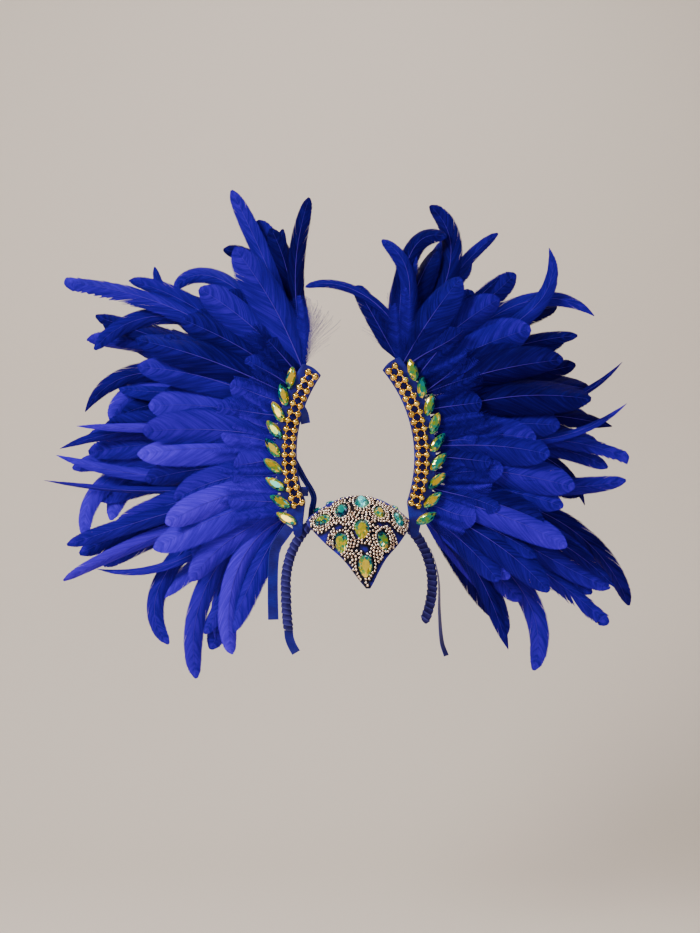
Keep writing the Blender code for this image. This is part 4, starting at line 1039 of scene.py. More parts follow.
# Ribbons: navy satin ribbon, 10 to 12 mm wide, with a woven edge. A strip hangs behind the
# left horn, the bound ends leave a tail on each side, and a brace with its knot ties the left
# horn back to the band.
RIBBON_WIDTH = 0.0120
RIBBON_THICKNESS = 0.0005
RIBBON_COLUMNS = 12
BEHIND_HORN = HORN_BACK + 0.0008
OFF_BAND = BAND_RADIUS + 0.0008
STRIP_ROWS = (
    {"along": 0.00, "out": 0.000, "back": 0.0000, "down": 0.000, "turn": 0},
    {"along": 0.10, "out": -0.008, "back": 0.0000, "down": 0.011, "turn": 4},
    {"along": 0.22, "out": -0.016, "back": 0.0006, "down": 0.023, "turn": 8},
    {"along": 0.40, "out": -0.019, "back": 0.0015, "down": 0.042, "turn": -6},
    {"along": 0.70, "out": -0.0196, "back": 0.0019, "down": 0.074, "turn": -12},
    {"along": 1.00, "out": -0.0190, "back": 0.0016, "down": 0.106, "turn": 4},
)
TAIL_ROWS = (
    {"along": 0.00, "out": 0.0000, "back": 0.0000, "down": 0.000, "turn": 0},
    {"along": 0.35, "out": 0.0010, "back": 0.0005, "down": 0.009, "turn": 10},
    {"along": 0.70, "out": 0.0042, "back": 0.0008, "down": 0.018, "turn": -6},
    {"along": 1.00, "out": 0.0088, "back": 0.0000, "down": 0.026, "turn": 8},
)
SIDE_TAIL_ROWS = (
    {"along": 0.00, "out": 0.0000, "back": 0.0000, "down": 0.000, "turn": 90},
    {"along": 0.12, "out": 0.0055, "back": 0.0000, "down": 0.015, "turn": 84},
    {"along": 0.30, "out": 0.0098, "back": 0.0012, "down": 0.037, "turn": 78},
    {"along": 0.60, "out": 0.0107, "back": 0.0037, "down": 0.073, "turn": 70},
    {"along": 0.88, "out": 0.0134, "back": 0.0024, "down": 0.107, "turn": 62},
    {"along": 1.00, "out": 0.0183, "back": 0.0000, "down": 0.122, "turn": 56},
)
BRACE_SHARE = 0.36
BRACE_ACROSS = -0.052
TAB_SHARE = 0.70
TAB_ROWS = (
    {"along": 0.00, "out": -0.0060, "back": 0.0000, "down": -0.0110, "turn": 0},
    {"along": 0.40, "out": 0.0005, "back": 0.0000, "down": -0.0020, "turn": 10},
    {"along": 1.00, "out": 0.0035, "back": 0.0000, "down": 0.0110, "turn": -8},
)
KNOT_SHARE = 0.08
KNOT_ROWS = (
    {"along": 0.00, "out": -0.0054, "back": 0.0000, "down": 0.0, "turn": 0},
    {"along": 0.30, "out": 0.0018, "back": 0.0000, "down": 0.0, "turn": 0},
    {"along": 0.50, "out": 0.0057, "back": 0.0015, "down": 0.0, "turn": 0},
    {"along": 0.62, "out": 0.0060, "back": 0.0033, "down": 0.0, "turn": 0},
    {"along": 0.78, "out": 0.0030, "back": 0.0047, "down": 0.0, "turn": 0},
    {"along": 1.00, "out": -0.0024, "back": 0.0048, "down": 0.0, "turn": 0},
)


def satin_ribbon(name, start, rows, width, lengthwise, wide=None, pleat=0.0):
    """A ribbon that starts at a point and follows the rows, its width lying across the
    headdress and turned about the drop, or along a given direction. A pleat above 0 gathers
    its width into two soft folds. Returns the piece and the cloth's own width and length."""
    spots = []
    for j in range(lengthwise + 1):
        share = j / lengthwise
        spots.append(start + Vector((read_rows(rows, share, "out"), read_rows(rows, share, "back"),
                                     -read_rows(rows, share, "down"))))

    def place(i, j):
        ahead = (spots[min(lengthwise, j + 1)] - spots[max(0, j - 1)]).normalized()
        turn = math.radians(read_rows(rows, j / lengthwise, "turn"))
        across = wide or Vector((math.cos(turn), math.sin(turn), 0.0))
        across = (across - ahead * across.dot(ahead)).normalized()
        face = ahead.cross(across)
        reach = i / RIBBON_COLUMNS - 0.5
        fold = pleat * math.sin(reach * 4.0 * math.pi) * (1.0 + 0.3 * math.sin(j * 0.7))
        return spots[j] + across * (width * reach) + face * fold

    cloth = bent_grid(name, RIBBON_COLUMNS, lengthwise, place)
    points = cloth.data.vertices
    row = RIBBON_COLUMNS + 1
    cut_width = sum((points[i + 1].co - points[i].co).length for i in range(RIBBON_COLUMNS))
    cut_length = sum((there - here).length for here, there in zip(spots, spots[1:]))
    wall = cloth.modifiers.new("ribbon_wall", "SOLIDIFY")
    wall.thickness = RIBBON_THICKNESS
    wall.offset = 0.0
    bpy.ops.object.modifier_apply(modifier="ribbon_wall")
    bpy.ops.object.shade_smooth_by_angle(angle=math.radians(60.0))
    return cloth, (cut_width, cut_length)


navy = Finish("navy_satin_ribbon", Roughness=0.36, Specular_IOR_Level=0.35,
              Specular_Tint=(0.45, 0.45, 1.0, 1.0))
ribbon_uv = navy.place(source="UV")
from_middle = (navy.node("ShaderNodeSeparateXYZ", None, {"Vector": ribbon_uv}) - 0.5).size()
selvedge = from_middle > 0.44
weft = navy.grain(navy.place(2.0, 260.0, 1.0, source="UV"), 1.0, 2.0)
shade = navy.grain(navy.place(), 70.0, 2.0)
ribbon_blue = navy.ramp(weft * 0.5 + shade * 0.5, (0.32, (0.0030, 0.0010, 0.055)),
                        (0.52, (0.0070, 0.0030, 0.130)), (0.70, (0.0130, 0.0100, 0.240)))
navy.colour(navy.mix(selvedge * 0.6, ribbon_blue, (0.0200, 0.0220, 0.300, 1.0)))
navy.bump(weft * 0.5 + selvedge * 0.8, 0.0002, 0.7)

foot = horn_point("left", horn_angle("left", 0.0), 0.0145, BEHIND_HORN)
foot.z -= 0.022
bound_end = band_leg_point("left", 1.0) + Vector((0.0, 0.0, 0.0008))
side_start = band_point(0.0790) + band_normal(0.0790) * OFF_BAND
tab_start = horn_point("left", horn_angle("left", TAB_SHARE), -HORN_INNER_MARGIN, BEHIND_HORN)
knot_start = horn_point("left", horn_angle("left", KNOT_SHARE), -HORN_INNER_MARGIN, BEHIND_HORN)
TALL = Vector((0.0, 0.0, 1.0))
for name, start, rows, share, lengthwise, wide, carrier in (
        ("ribbon_strip_left", foot, STRIP_ROWS, 1.0, 44, None, "horn_satin_left"),
        ("ribbon_tail_left", bound_end, TAIL_ROWS, 0.85, 14, None, "wound_headband"),
        ("ribbon_tail_right", side_start, SIDE_TAIL_ROWS, 0.9, 44, None, "wound_headband"),
        ("ribbon_tab_left", tab_start, TAB_ROWS, 0.9, 12, None, "horn_satin_left"),
        ("ribbon_knot_left", knot_start, KNOT_ROWS, 0.9, 24, TALL, "horn_satin_left")):
    cloth, flat = satin_ribbon(name + "_satin", start, rows, RIBBON_WIDTH * share, lengthwise,
                               wide)
    settle(cloth, navy, "ribbon", name)

high = horn_point("left", horn_angle("left", BRACE_SHARE), 0.0010, BEHIND_HORN + 0.0003)
low = band_point(BRACE_ACROSS) + Vector((0.0, OFF_BAND, 0.0))
elbow = Vector((BRACE_ACROSS + 0.0035, low.y * 0.9, low.z + 0.032))
middle = high.lerp(elbow, 0.5) + Vector((0.0, 0.0015, 0.0))
below = elbow.lerp(low, 0.5) + Vector((0.0, 0.0015, 0.0))
BRACE_ROWS = [{"along": along, "out": spot.x - high.x, "back": spot.y - high.y,
               "down": high.z - spot.z, "turn": turn}
              for along, spot, turn in ((0.0, high, 0), (0.30, middle, 24), (0.60, elbow, 24),
                                        (0.80, below, 8), (1.0, low, 0))]
cloth, flat = satin_ribbon("ribbon_brace_left_satin", high, BRACE_ROWS, 0.0072, 36,
                           pleat=0.0011)
settle(cloth, navy, "ribbon", "ribbon_brace_left")


# Feathers: goose quills dyed ultramarine. One feather is a flat vane of barbs either side of
# a tapering quill. The barbs lie close and smooth, and part only in a few tears and along a
# finely frayed edge. Down has the same build with every barb a loose hair.
VANE_STEPS = (0.0, 0.34, 0.66, 0.90, 1.0)
FRAY_FROM = 0.92
GOOSE = (
    {"along": 0.00, "half_width": 0.42},
    {"along": 0.10, "half_width": 0.64},
    {"along": 0.25, "half_width": 0.86},
    {"along": 0.50, "half_width": 1.00},
    {"along": 0.74, "half_width": 0.97},
    {"along": 0.88, "half_width": 0.78},
    {"along": 0.96, "half_width": 0.48},
    {"along": 1.00, "half_width": 0.12},
)
SICKLE = (
    {"along": 0.00, "half_width": 0.36},
    {"along": 0.12, "half_width": 0.70},
    {"along": 0.35, "half_width": 0.97},
    {"along": 0.60, "half_width": 1.00},
    {"along": 0.80, "half_width": 0.95},
    {"along": 0.91, "half_width": 0.80},
    {"along": 0.97, "half_width": 0.54},
    {"along": 1.00, "half_width": 0.14},
)
BLADE = (
    {"along": 0.00, "half_width": 0.36},
    {"along": 0.12, "half_width": 0.74},
    {"along": 0.35, "half_width": 1.00},
    {"along": 0.60, "half_width": 0.97},
    {"along": 0.80, "half_width": 0.80},
    {"along": 0.92, "half_width": 0.50},
    {"along": 1.00, "half_width": 0.05},
)
BLUNT = (
    {"along": 0.00, "half_width": 0.36},
    {"along": 0.15, "half_width": 0.76},
    {"along": 0.40, "half_width": 1.00},
    {"along": 0.80, "half_width": 0.94},
    {"along": 1.00, "half_width": 0.76},
)
PLUMAGE = {
    "goose": {"outline": GOOSE, "barbs": 72, "sweep": 0.30, "ragged": 0.026, "tears": 4, "hair": 1.0},
    "sickle": {"outline": SICKLE, "barbs": 76, "sweep": 0.24, "ragged": 0.028, "tears": 3, "hair": 1.0},
    "blade": {"outline": BLADE, "barbs": 76, "sweep": 0.26, "ragged": 0.040, "tears": 4, "hair": 1.0},
    "blunt": {"outline": BLUNT, "barbs": 70, "sweep": 0.20, "ragged": 0.110, "tears": 10, "hair": 1.0},
    "down": {"outline": GOOSE, "barbs": 36, "sweep": 0.36, "ragged": 0.260, "tears": 36, "hair": 0.30},
    "wisp": {"outline": GOOSE, "barbs": 34, "sweep": 0.34, "ragged": 0.420, "tears": 34, "hair": 0.12},
}


def flat_feather(kind, number):
    """A flat feather of length 1 along +Y and half width 1, with its barbs as rows."""
    facts = PLUMAGE[kind]
    barbs, hair = facts["barbs"], facts["hair"]
    dice = random.Random("%s %d" % (kind, number))
    columns = 2 * (len(VANE_STEPS) - 1)
    bpy.ops.object.select_all(action="DESELECT")
    bpy.ops.mesh.primitive_grid_add(x_subdivisions=columns, y_subdivisions=barbs, size=2.0)
    vane = bpy.context.object
    vane.name = "%s_%d" % (kind, number)
    torn = set(dice.sample(range(6, barbs), min(barbs - 6, facts["tears"])))
    bpy.ops.object.mode_set(mode="EDIT")
    bpy.ops.mesh.select_mode(type="EDGE")
    bpy.ops.mesh.select_all(action="DESELECT")
    bpy.ops.object.mode_set(mode="OBJECT")
    for edge in vane.data.edges:
        low, high = (vane.data.vertices[i].co for i in edge.vertices)
        row = round((low.y + 1.0) / 2.0 * barbs)
        reach = VANE_STEPS[round(max(abs(low.x), abs(high.x)) * (len(VANE_STEPS) - 1))]
        crosses = abs(low.y - high.y) < 0.001 and 0 < row < barbs
        edge.select = crosses and (reach > FRAY_FROM or hair < 1.0
                                   or (row in torn and reach > 0.5))
    bpy.ops.object.mode_set(mode="EDIT")
    bpy.ops.mesh.edge_split(type="EDGE")
    bpy.ops.object.mode_set(mode="OBJECT")

    rows_at = {}
    for face in vane.data.polygons:
        row = min(barbs - 1, int((face.center.y + 1.0) / 2.0 * barbs))
        for i in face.vertices:
            rows_at.setdefault(i, []).append(row)
    stray = [[dice.gauss(0.0, 1.0) for row in range(barbs)] for side in (0, 1)]
    clump = [[dice.gauss(0.0, 1.0) for row in range(barbs // 6 + 1)] for side in (0, 1)]
    for i, spot in enumerate(vane.data.vertices):
        rows = rows_at[i]
        side = 0 if spot.co.x < 0.0 else 1
        reach = VANE_STEPS[round(abs(spot.co.x) * (len(VANE_STEPS) - 1))]
        place = (spot.co.y + 1.0) / 2.0
        if len(set(rows)) == 1 and reach > 0.0:
            middle = (rows[0] + 0.5) / barbs
            narrow = 1.0 - hair if hair < 1.0 else 0.5 * max(0.0, reach - 0.66) / 0.34
            place += (middle - place) * narrow
        wobble = stray[side][rows[0]]
        group = clump[side][rows[0] // 6]
        loose = facts["ragged"] * reach ** 2.5
        ahead = facts["sweep"] * reach ** 1.2 * (1.0 - place ** 2.5)
        ahead += (0.5 * wobble + group) * loose * 0.16
        final = min(1.0, place + ahead)
        half = read_rows(facts["outline"], final, "half_width")
        length = 1.0 + (0.6 * wobble + 0.4 * group) * loose
        lift = (wobble + group) * loose * 0.05
        spot.co = ((-1.0, 1.0)[side] * reach * half * length, final, lift)
    barb = vane.data.attributes.new("barb", "FLOAT", "FACE")
    tones = [dice.random() for row in range(barbs)]
    barb.data.foreach_set("value", [tones[rows_at[face.vertices[0]][0]]
                                    for face in vane.data.polygons])
    vane.data.attributes.new("quill", "FLOAT", "FACE")
    vane.data.attributes.new("tone", "FLOAT", "FACE")
    bpy.ops.object.shade_smooth()
    return vane


def flat_quill():
    """The quill of a feather of length 1: a fine cone with its radius as 1 at the root."""
    bpy.ops.object.select_all(action="DESELECT")
    bpy.ops.mesh.primitive_grid_add(x_subdivisions=4, y_subdivisions=20, size=2.0)
    shaft = bpy.context.object
    for spot in shaft.data.vertices:
        turn = math.pi * spot.co.x
        place = (spot.co.y + 1.0) / 2.0
        radius = 1.0 - 0.90 * place
        spot.co = (radius * math.sin(turn), place * 0.975, radius * math.cos(turn))
    tidy_skin(shaft, merge=0.001)
    shaft.data.attributes.new("barb", "FLOAT", "FACE")
    shaft.data.attributes.new("tone", "FLOAT", "FACE")
    mark = shaft.data.attributes.new("quill", "FLOAT", "FACE")
    mark.data.foreach_set("value", [1.0] * len(shaft.data.polygons))
    return shaft


flat_feathers = {kind: [flat_feather(kind, number) for number in range(4)] for kind in PLUMAGE}
quill = flat_quill()

# Fans: each feather grows from the horn's back, out to a tip placed in shares of the fan's
# reach, and leaves and arrives at angles to its chord, positive upwards.
FAN_REACH = 0.370
FEATHER_WIDTH = 0.025
ROOT_OFFSET = 0.0170
LINE_HANDLE = 0.38
FAN_SKIN = 0.0022
FRONT_FAN = {"near": HORN_BACK + 0.0003, "layers": 3, "step": 0.0030, "lean": -6.0, "lean_step": 3.0}
BACK_FAN = {"near": 0.0052, "layers": 6, "step": 0.0025, "lean": 2.0, "lean_step": 2.4}
QUILL_RADIUS = 0.00070
FRONT_FEATHERS = {
    "left": (
        {"root": 1.00, "out": 0.37, "up": 0.80, "leave": 8, "arrive": -8, "width": 1.7},
        {"root": 0.95, "out": 0.48, "up": 0.68, "leave": 8, "arrive": -10, "width": 1.7},
        {"root": 0.88, "out": 0.54, "up": 0.59, "leave": 8, "arrive": -8, "width": 1.6},
        {"root": 0.80, "out": 0.67, "up": 0.52, "leave": 6, "arrive": -8, "width": 1.5},
        {"root": 0.70, "out": 0.67, "up": 0.44, "leave": 10, "arrive": -12, "width": 1.5},
        {"root": 0.60, "out": 0.64, "up": 0.32, "leave": 10, "arrive": -12, "width": 1.8},
        {"root": 0.50, "out": 0.65, "up": 0.24, "leave": 6, "arrive": -8, "width": 1.7},
        {"root": 0.41, "out": 0.67, "up": 0.17, "leave": 4, "arrive": -8, "width": 1.5},
        {"root": 0.32, "out": 0.65, "up": 0.09, "leave": 2, "arrive": -10, "width": 1.6},
        {"root": 0.20, "out": 0.58, "up": -0.04, "leave": 6, "arrive": -10, "width": 1.4},
        {"root": 0.10, "out": 0.62, "up": -0.12, "leave": 6, "arrive": -8, "width": 1.6},
        {"root": 0.00, "out": 0.51, "up": -0.22, "leave": 12, "arrive": -20, "width": 1.3},
    ),
    "right": (
        {"root": 0.98, "out": 0.32, "up": 0.71, "leave": 5, "arrive": -5, "width": 1.7},
        {"root": 0.92, "out": 0.44, "up": 0.65, "leave": 6, "arrive": -8, "width": 1.6},
        {"root": 0.85, "out": 0.54, "up": 0.56, "leave": 6, "arrive": -8, "width": 1.9},
        {"root": 0.75, "out": 0.63, "up": 0.46, "leave": 8, "arrive": -8, "width": 1.6},
        {"root": 0.62, "out": 0.72, "up": 0.34, "leave": 10, "arrive": -14, "width": 1.7},
        {"root": 0.51, "out": 0.63, "up": 0.26, "leave": 6, "arrive": -8, "width": 1.7},
        {"root": 0.41, "out": 0.59, "up": 0.17, "leave": 6, "arrive": -10, "width": 1.7},
        {"root": 0.30, "out": 0.67, "up": 0.07, "leave": 2, "arrive": -6, "width": 1.7},
        {"root": 0.20, "out": 0.64, "up": 0.01, "leave": 2, "arrive": -8, "width": 1.4},
        {"root": 0.10, "out": 0.64, "up": -0.11, "leave": 6, "arrive": -10, "width": 1.4},
        {"root": 0.03, "out": 0.59, "up": -0.25, "leave": 8, "arrive": -14, "width": 1.4},
        {"root": -0.03, "out": 0.44, "up": -0.22, "leave": 10, "arrive": -10, "width": 1.3},
    ),
}
BACK_FEATHERS = {
    "left": (
        {"root": 1.04, "out": 0.145, "up": 0.97, "leave": -13, "arrive": 17, "width": 0.80},
        {"root": 1.00, "out": 0.39, "up": 1.00, "leave": 5, "arrive": -5, "width": 0.90},
        {"root": 1.02, "out": 0.23, "up": 0.88, "leave": -14, "arrive": 20, "width": 0.70},
        {"root": 1.00, "out": 0.42, "up": 0.82, "leave": 5, "arrive": -50, "width": 0.90},
        {"root": 0.98, "out": 0.58, "up": 0.70, "leave": 32, "arrive": -86, "width": 0.80},
        {"root": 0.95, "out": 0.65, "up": 0.78, "leave": -20, "arrive": 40, "width": 0.60},
        {"root": 0.88, "out": 0.91, "up": 0.71, "leave": 15, "arrive": -18, "width": 0.95, "cut": "blunt"},
        {"root": 0.93, "out": 0.82, "up": 0.50, "leave": 41, "arrive": -62, "width": 0.85},
        {"root": 0.82, "out": 0.80, "up": 0.59, "leave": 10, "arrive": -12, "width": 1.00, "cut": "blunt"},
        {"root": 0.78, "out": 0.86, "up": 0.54, "leave": 12, "arrive": -14, "width": 1.10},
        {"root": 0.68, "out": 0.87, "up": 0.31, "leave": 28, "arrive": -62, "width": 1.00},
        {"root": 0.62, "out": 0.79, "up": 0.28, "leave": 20, "arrive": -70, "width": 1.10},
        {"root": 0.50, "out": 0.87, "up": 0.26, "leave": 5, "arrive": 0, "width": 0.50},
        {"root": 0.45, "out": 0.93, "up": 0.19, "leave": 12, "arrive": -20, "width": 0.65},
        {"root": 0.30, "out": 0.95, "up": 0.17, "leave": -12, "arrive": 16, "width": 0.65},
        {"root": 0.20, "out": 1.00, "up": 0.09, "leave": -8, "arrive": 10, "width": 0.40},
        {"root": 0.38, "out": 0.87, "up": -0.10, "leave": 35, "arrive": -80, "width": 1.00},
        {"root": 0.28, "out": 0.79, "up": -0.04, "leave": 35, "arrive": -70, "width": 1.15},
        {"root": 0.12, "out": 0.90, "up": -0.11, "leave": 8, "arrive": -4, "width": 0.85},
        {"root": 0.06, "out": 0.92, "up": -0.225, "leave": 8, "arrive": -8, "width": 0.75},
        {"root": 0.03, "out": 0.82, "up": -0.19, "leave": -5, "arrive": 30, "width": 0.50},
        {"root": 0.08, "out": 0.594, "up": -0.43, "leave": 48, "arrive": -85, "width": 0.90},
        {"root": 0.00, "out": 0.51, "up": -0.545, "leave": 38, "arrive": -40, "width": 1.00},
        {"root": -0.03, "out": 0.45, "up": -0.42, "leave": 40, "arrive": -38, "width": 0.42},
        {"root": -0.06, "out": 0.385, "up": -0.45, "leave": 48, "arrive": -35, "width": 0.95},
    ),
    "right": (
        {"root": 1.00, "out": -0.157, "up": 0.69, "leave": -69, "arrive": 62, "width": 0.45},
        {"root": 1.00, "out": 0.08, "up": 0.84, "leave": -19, "arrive": 55, "width": 0.80},
        {"root": 0.98, "out": 0.286, "up": 0.855, "leave": 25, "arrive": -90, "width": 0.90},
        {"root": 0.97, "out": 0.234, "up": 0.96, "leave": -20, "arrive": 60, "width": 1.00},
        {"root": 0.95, "out": 0.455, "up": 0.88, "leave": 10, "arrive": -18, "width": 0.65},
        {"root": 0.97, "out": 0.286, "up": 0.76, "leave": 0, "arrive": -10, "width": 0.85},
        {"root": 0.90, "out": 0.446, "up": 0.72, "leave": 5, "arrive": -5, "width": 0.65},
        {"root": 0.88, "out": 0.606, "up": 0.82, "leave": -13, "arrive": 65, "width": 0.85},
        {"root": 0.84, "out": 0.754, "up": 0.61, "leave": 25, "arrive": -62, "width": 0.85},
        {"root": 0.80, "out": 0.705, "up": 0.55, "leave": 8, "arrive": -14, "width": 0.75},
        {"root": 0.60, "out": 0.858, "up": 0.47, "leave": -15, "arrive": 30, "width": 0.42},
        {"root": 0.66, "out": 0.76, "up": 0.38, "leave": 15, "arrive": -20, "width": 1.10},
        {"root": 0.48, "out": 0.843, "up": 0.33, "leave": -15, "arrive": 30, "width": 0.45},
        {"root": 0.54, "out": 0.803, "up": 0.26, "leave": 10, "arrive": -15, "width": 1.10},
        {"root": 0.42, "out": 0.865, "up": 0.16, "leave": 8, "arrive": -18, "width": 0.75, "cut": "blunt"},
        {"root": 0.25, "out": 0.862, "up": 0.09, "leave": -8, "arrive": 14, "width": 0.90},
        {"root": 0.36, "out": 0.732, "up": 0.01, "leave": 40, "arrive": -55, "width": 0.65},
        {"root": 0.15, "out": 0.892, "up": -0.32, "leave": 26, "arrive": -38, "width": 1.00},
        {"root": 0.10, "out": 0.81, "up": -0.245, "leave": 10, "arrive": -20, "width": 0.85},
        {"root": 0.04, "out": 0.794, "up": -0.36, "leave": 5, "arrive": -8, "width": 0.85, "cut": "blunt"},
        {"root": 0.08, "out": 0.714, "up": -0.26, "leave": 8, "arrive": -25, "width": 0.85},
        {"root": -0.04, "out": 0.483, "up": -0.445, "leave": 22, "arrive": -15, "width": 0.85},
        {"root": 0.00, "out": 0.57, "up": -0.52, "leave": 25, "arrive": -52, "width": 1.10},
        {"root": -0.06, "out": 0.42, "up": -0.265, "leave": 5, "arrive": 0, "width": 0.75},
    ),
}


def bezier(points, share):
    rest = 1.0 - share
    return (points[0] * rest ** 3 + points[1] * 3.0 * rest ** 2 * share
            + points[2] * 3.0 * rest * share ** 2 + points[3] * share ** 3)


def feather_line(side, row):
    """Control points of a feather's quill in the plane of the fan."""
    sign = SIDES[side]
    root = horn_point(side, horn_angle(side, row["root"]), ROOT_OFFSET, 0.0)
    tip = Vector((sign * FAN_REACH * row["out"], 0.0, FAN_REACH * row["up"]))
    chord = tip - root
    base = math.atan2(chord.z, sign * chord.x)
    reach = LINE_HANDLE * chord.length
    leave = base + math.radians(row["leave"])
    arrive = base + math.radians(row["arrive"])
    first = root + Vector((sign * math.cos(leave), 0.0, math.sin(leave))) * reach
    last = tip - Vector((sign * math.cos(arrive), 0.0, math.sin(arrive))) * reach
    return root, first, last, tip


def lay_feather(kind, side, row, fan, layer, dice, tone):
    """A copy of a flat feather and its quill, bent along its line at its layer's depth."""
    master = flat_feathers[kind][dice.randrange(len(flat_feathers[kind]))]
    points = feather_line(side, row)
    centre = horn_point(side, 0.0, -HORN_RADIUS, 0.0)
    depth = fan["near"] + FAN_SKIN + fan["step"] * layer
    lean = math.tan(math.radians(fan["lean"] + fan["lean_step"] * layer))
    steps = 26
    stations = []
    for i in range(steps + 1):
        spot = bezier(points, i / steps)
        outside = math.hypot(spot.x - centre.x, spot.z - centre.z) - HORN_RADIUS - ROOT_OFFSET
        spot.y = depth + lean * max(0.0, outside)
        stations.append(spot)
    roll = math.radians(dice.uniform(-15.0, 15.0))
    twist = math.radians(dice.uniform(-30.0, 30.0))
    cup = dice.uniform(0.28, 0.52)
    half = 0.5 * FEATHER_WIDTH * row["width"]
    length = sum((b - a).length for a, b in zip(stations, stations[1:]))
    frames = []
    for i, spot in enumerate(stations):
        ahead = stations[min(steps, i + 1)] - stations[max(0, i - 1)]
        ahead.normalize()
        across = ahead.cross(Vector((0.0, 1.0, 0.0))).normalized()
        across = Matrix.Rotation(roll + twist * (i / steps) ** 2, 3, ahead) @ across
        front = ahead.cross(across).normalized()
        frames.append((spot, across, -front if front.y > 0.0 else front))
    copies = []
    for flat, wide, thick in ((master, half, half), (quill, QUILL_RADIUS, QUILL_RADIUS)):
        if flat is quill and kind in ("down", "wisp"):
            continue
        copy = flat.copy()
        copy.data = flat.data.copy()
        bpy.context.collection.objects.link(copy)
        for vertex in copy.data.vertices:
            x, y, z = vertex.co
            place = min(max(y, 0.0), 1.0) * steps
            i = min(steps - 1, int(place))
            low, high = frames[i], frames[i + 1]
            share = place - i
            spot = low[0].lerp(high[0], share)
            across = low[1].lerp(high[1], share)
            front = low[2].lerp(high[2], share)
            sag = cup * half * x * x if flat is master else -0.0002
            vertex.co = spot + across * (x * wide) + front * (z * thick - sag)
        copy.data.attributes["tone"].data.foreach_set("value", [tone] * len(copy.data.polygons))
        copies.append(copy)
    return copies


feather = Finish("dyed_goose", Roughness=0.38, Specular_IOR_Level=0.04,
                 Specular_Tint=(0.36, 0.14, 1.0, 1.0))
lie = feather.place(3.0, 150.0, 1.0, source="UV")
streaks = feather.grain(lie, 1.0, 3.0)
fine = feather.grain(feather.place(6.0, 420.0, 1.0, source="UV"), 1.0, 1.0)
clumps = feather.grain(feather.place(2.0, 26.0, 1.0, source="UV"), 1.0, 2.0)
dye = feather.grain(feather.place(), 22.0, 2.0)
uv = feather.place(source="UV")
up_quill = feather.node("ShaderNodeSeparateXYZ", None, {"Vector": uv}, out=1)
# Painted shade: the share along the quill paints each feather darker towards its root, where the fan lies
# in its own shade near the horn.
value = feather.mark("tone") * 0.62 + feather.mark("barb") * 0.07 + streaks * 0.38
value = value + clumps * 0.30 + dye * 0.14 + up_quill * 0.10 - 0.20
body = feather.ramp(value, (0.16, (0.0014, 0.0, 0.016)), (0.36, (0.0040, 0.0, 0.070)),
                    (0.56, (0.0150, 0.0, 0.220)), (0.74, (0.0360, 0.0, 0.460)),
                    (0.92, (0.0820, 0.0160, 0.740)))
feather.colour(feather.mix(feather.mark("quill") * 0.85, body, (0.0700, 0.0300, 0.420, 1.0)))
feather.bump(streaks * 0.6 + fine * 0.4, 0.0010, 1.0)


def between(low, high, share, dice):
    """A further feather between two rows of a fan, a little shorter than either."""
    row = {name: low[name] + (high[name] - low[name]) * share for name in ("root", "out", "up")}
    shorter = dice.uniform(0.80, 0.95)
    row["out"] = row["out"] * shorter + 0.25 * (1.0 - shorter)
    row["up"] = row["up"] * shorter + row["root"] * 0.4 * (1.0 - shorter)
    row["leave"] = dice.uniform(-4.0, 14.0)
    row["arrive"] = dice.uniform(-26.0, 6.0)
    return row
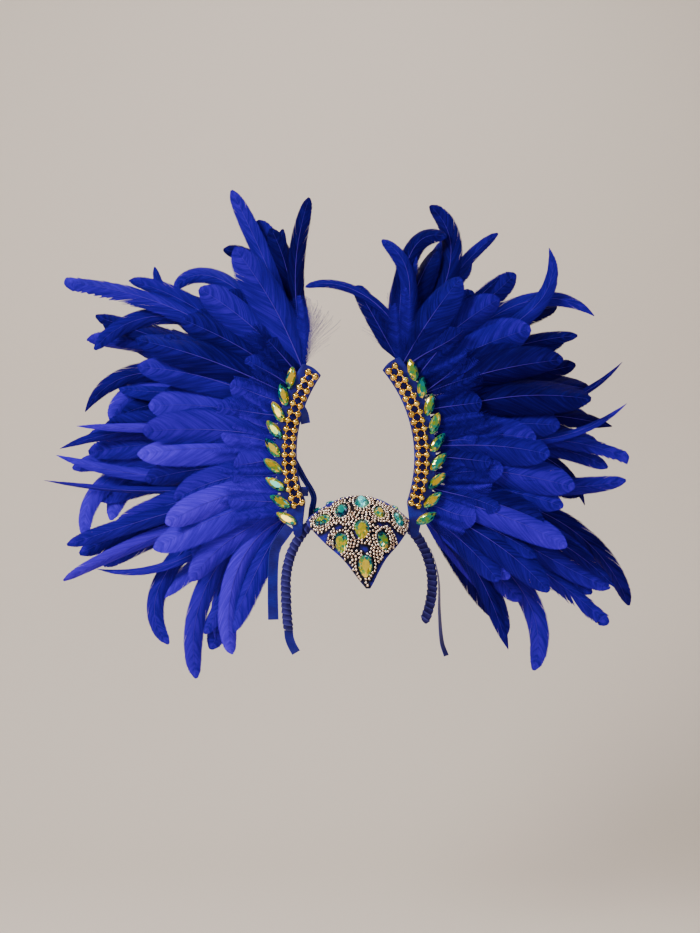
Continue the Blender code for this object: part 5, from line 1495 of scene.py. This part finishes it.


# Painted light: the left fan's feathers are painted lighter than the right fan's, as the light falls from
# the left. On both sides the tone also gets darker towards the top of the horn.
FAN_TONES = {
    "left": ({"along": -0.10, "tone": 0.60}, {"along": 0.30, "tone": 0.56},
             {"along": 0.60, "tone": 0.50}, {"along": 0.85, "tone": 0.28},
             {"along": 1.10, "tone": 0.16}),
    "right": ({"along": -0.10, "tone": 0.46}, {"along": 0.30, "tone": 0.32},
              {"along": 0.65, "tone": 0.24}, {"along": 1.10, "tone": 0.24}),
}
BACK_TONE = -0.05
TONE_SPREAD = 0.24
for side in SIDES:
    for name, rows, fan, kind in (("front", FRONT_FEATHERS[side], FRONT_FAN, "goose"),
                                  ("back", BACK_FEATHERS[side], BACK_FAN, "sickle")):
        dice = random.Random("fan " + name + side)
        deeper = BACK_TONE if name == "back" else 0.0
        laid = []
        for number, row in enumerate(rows):
            # Each feather's tone: painted light from the fan tones, plus a random spread.
            tone = read_rows(FAN_TONES[side], row["root"], "tone") + deeper
            tone += dice.uniform(-TONE_SPREAD, TONE_SPREAD)
            cut = kind
            slim = row["width"] < 0.70 or dice.random() < 0.30
            if kind == "sickle" and row["root"] < 0.93 and slim:
                cut = "blade"
            cut = row.get("cut", cut)
            laid += lay_feather(cut, side, row, fan, number % fan["layers"], dice, tone)
        for number, (low, high) in enumerate(zip(rows, rows[1:])):
            row = between(low, high, dice.uniform(0.35, 0.65), dice)
            tone = read_rows(FAN_TONES[side], row["root"], "tone") + deeper - 0.06
            tone += dice.uniform(-TONE_SPREAD, TONE_SPREAD)
            row["width"] = dice.uniform(1.1, 1.6) if kind == "goose" else dice.uniform(0.8, 1.3)
            layer = (number + 1) % fan["layers"] + 0.5
            laid += lay_feather(kind, side, row, fan, layer, dice, tone)
        plumes = join(laid, "plumes_%s_%s" % (name, side))
        settle(plumes, feather, "feather", "feathers_%s_%s" % (name, side))


# Down and coverts: short soft feathers glued over the quills, close behind each horn. They
# hide the roots, and their loose hairs show past the horn's top.
for side in SIDES:
    dice = random.Random("down " + side)
    laid = []
    for number in range(42):
        share = -0.04 + 1.04 * number / 41
        angle = horn_angle(side, share)
        turn = angle + math.radians(dice.uniform(-10.0, 26.0))
        root = horn_point(side, angle, ROOT_OFFSET, 0.0)
        reach = dice.uniform(0.045, 0.082)
        tip = root + Vector((SIDES[side] * math.cos(turn), 0.0, math.sin(turn))) * reach
        row = {"root": share, "out": SIDES[side] * tip.x / FAN_REACH, "up": tip.z / FAN_REACH,
               "leave": dice.uniform(-12.0, 12.0), "arrive": dice.uniform(-20.0, 20.0),
               "width": dice.uniform(0.9, 1.5)}
        kind = ("down", "wisp", "down", "goose")[number % 4]
        # The down takes the same painted light from the fan tones.
        tone = read_rows(FAN_TONES[side], share, "tone") + dice.uniform(-0.12, 0.12)
        laid += lay_feather(kind, side, row, FRONT_FAN, 0.2 * (number % 3) - 0.3, dice, tone)
    for number in range(5):
        share = 0.95 + 0.02 * number
        root = horn_point(side, horn_angle(side, share), ROOT_OFFSET, 0.0)
        tip = root + Vector((-SIDES[side] * dice.uniform(-0.006, 0.008), 0.0,
                             dice.uniform(0.050, 0.090)))
        row = {"root": share, "out": SIDES[side] * tip.x / FAN_REACH, "up": tip.z / FAN_REACH,
               "leave": dice.uniform(-10.0, 10.0), "arrive": dice.uniform(-10.0, 10.0),
               "width": dice.uniform(1.2, 1.9)}
        laid += lay_feather("wisp", side, row, FRONT_FAN, dice.uniform(0.0, 2.0), dice, 0.36)
    down = join(laid, "down_" + side)
    settle(down, feather, "feather")
for flats in flat_feathers.values():
    for flat in flats:
        bpy.data.objects.remove(flat, do_unlink=True)
bpy.data.objects.remove(quill, do_unlink=True)
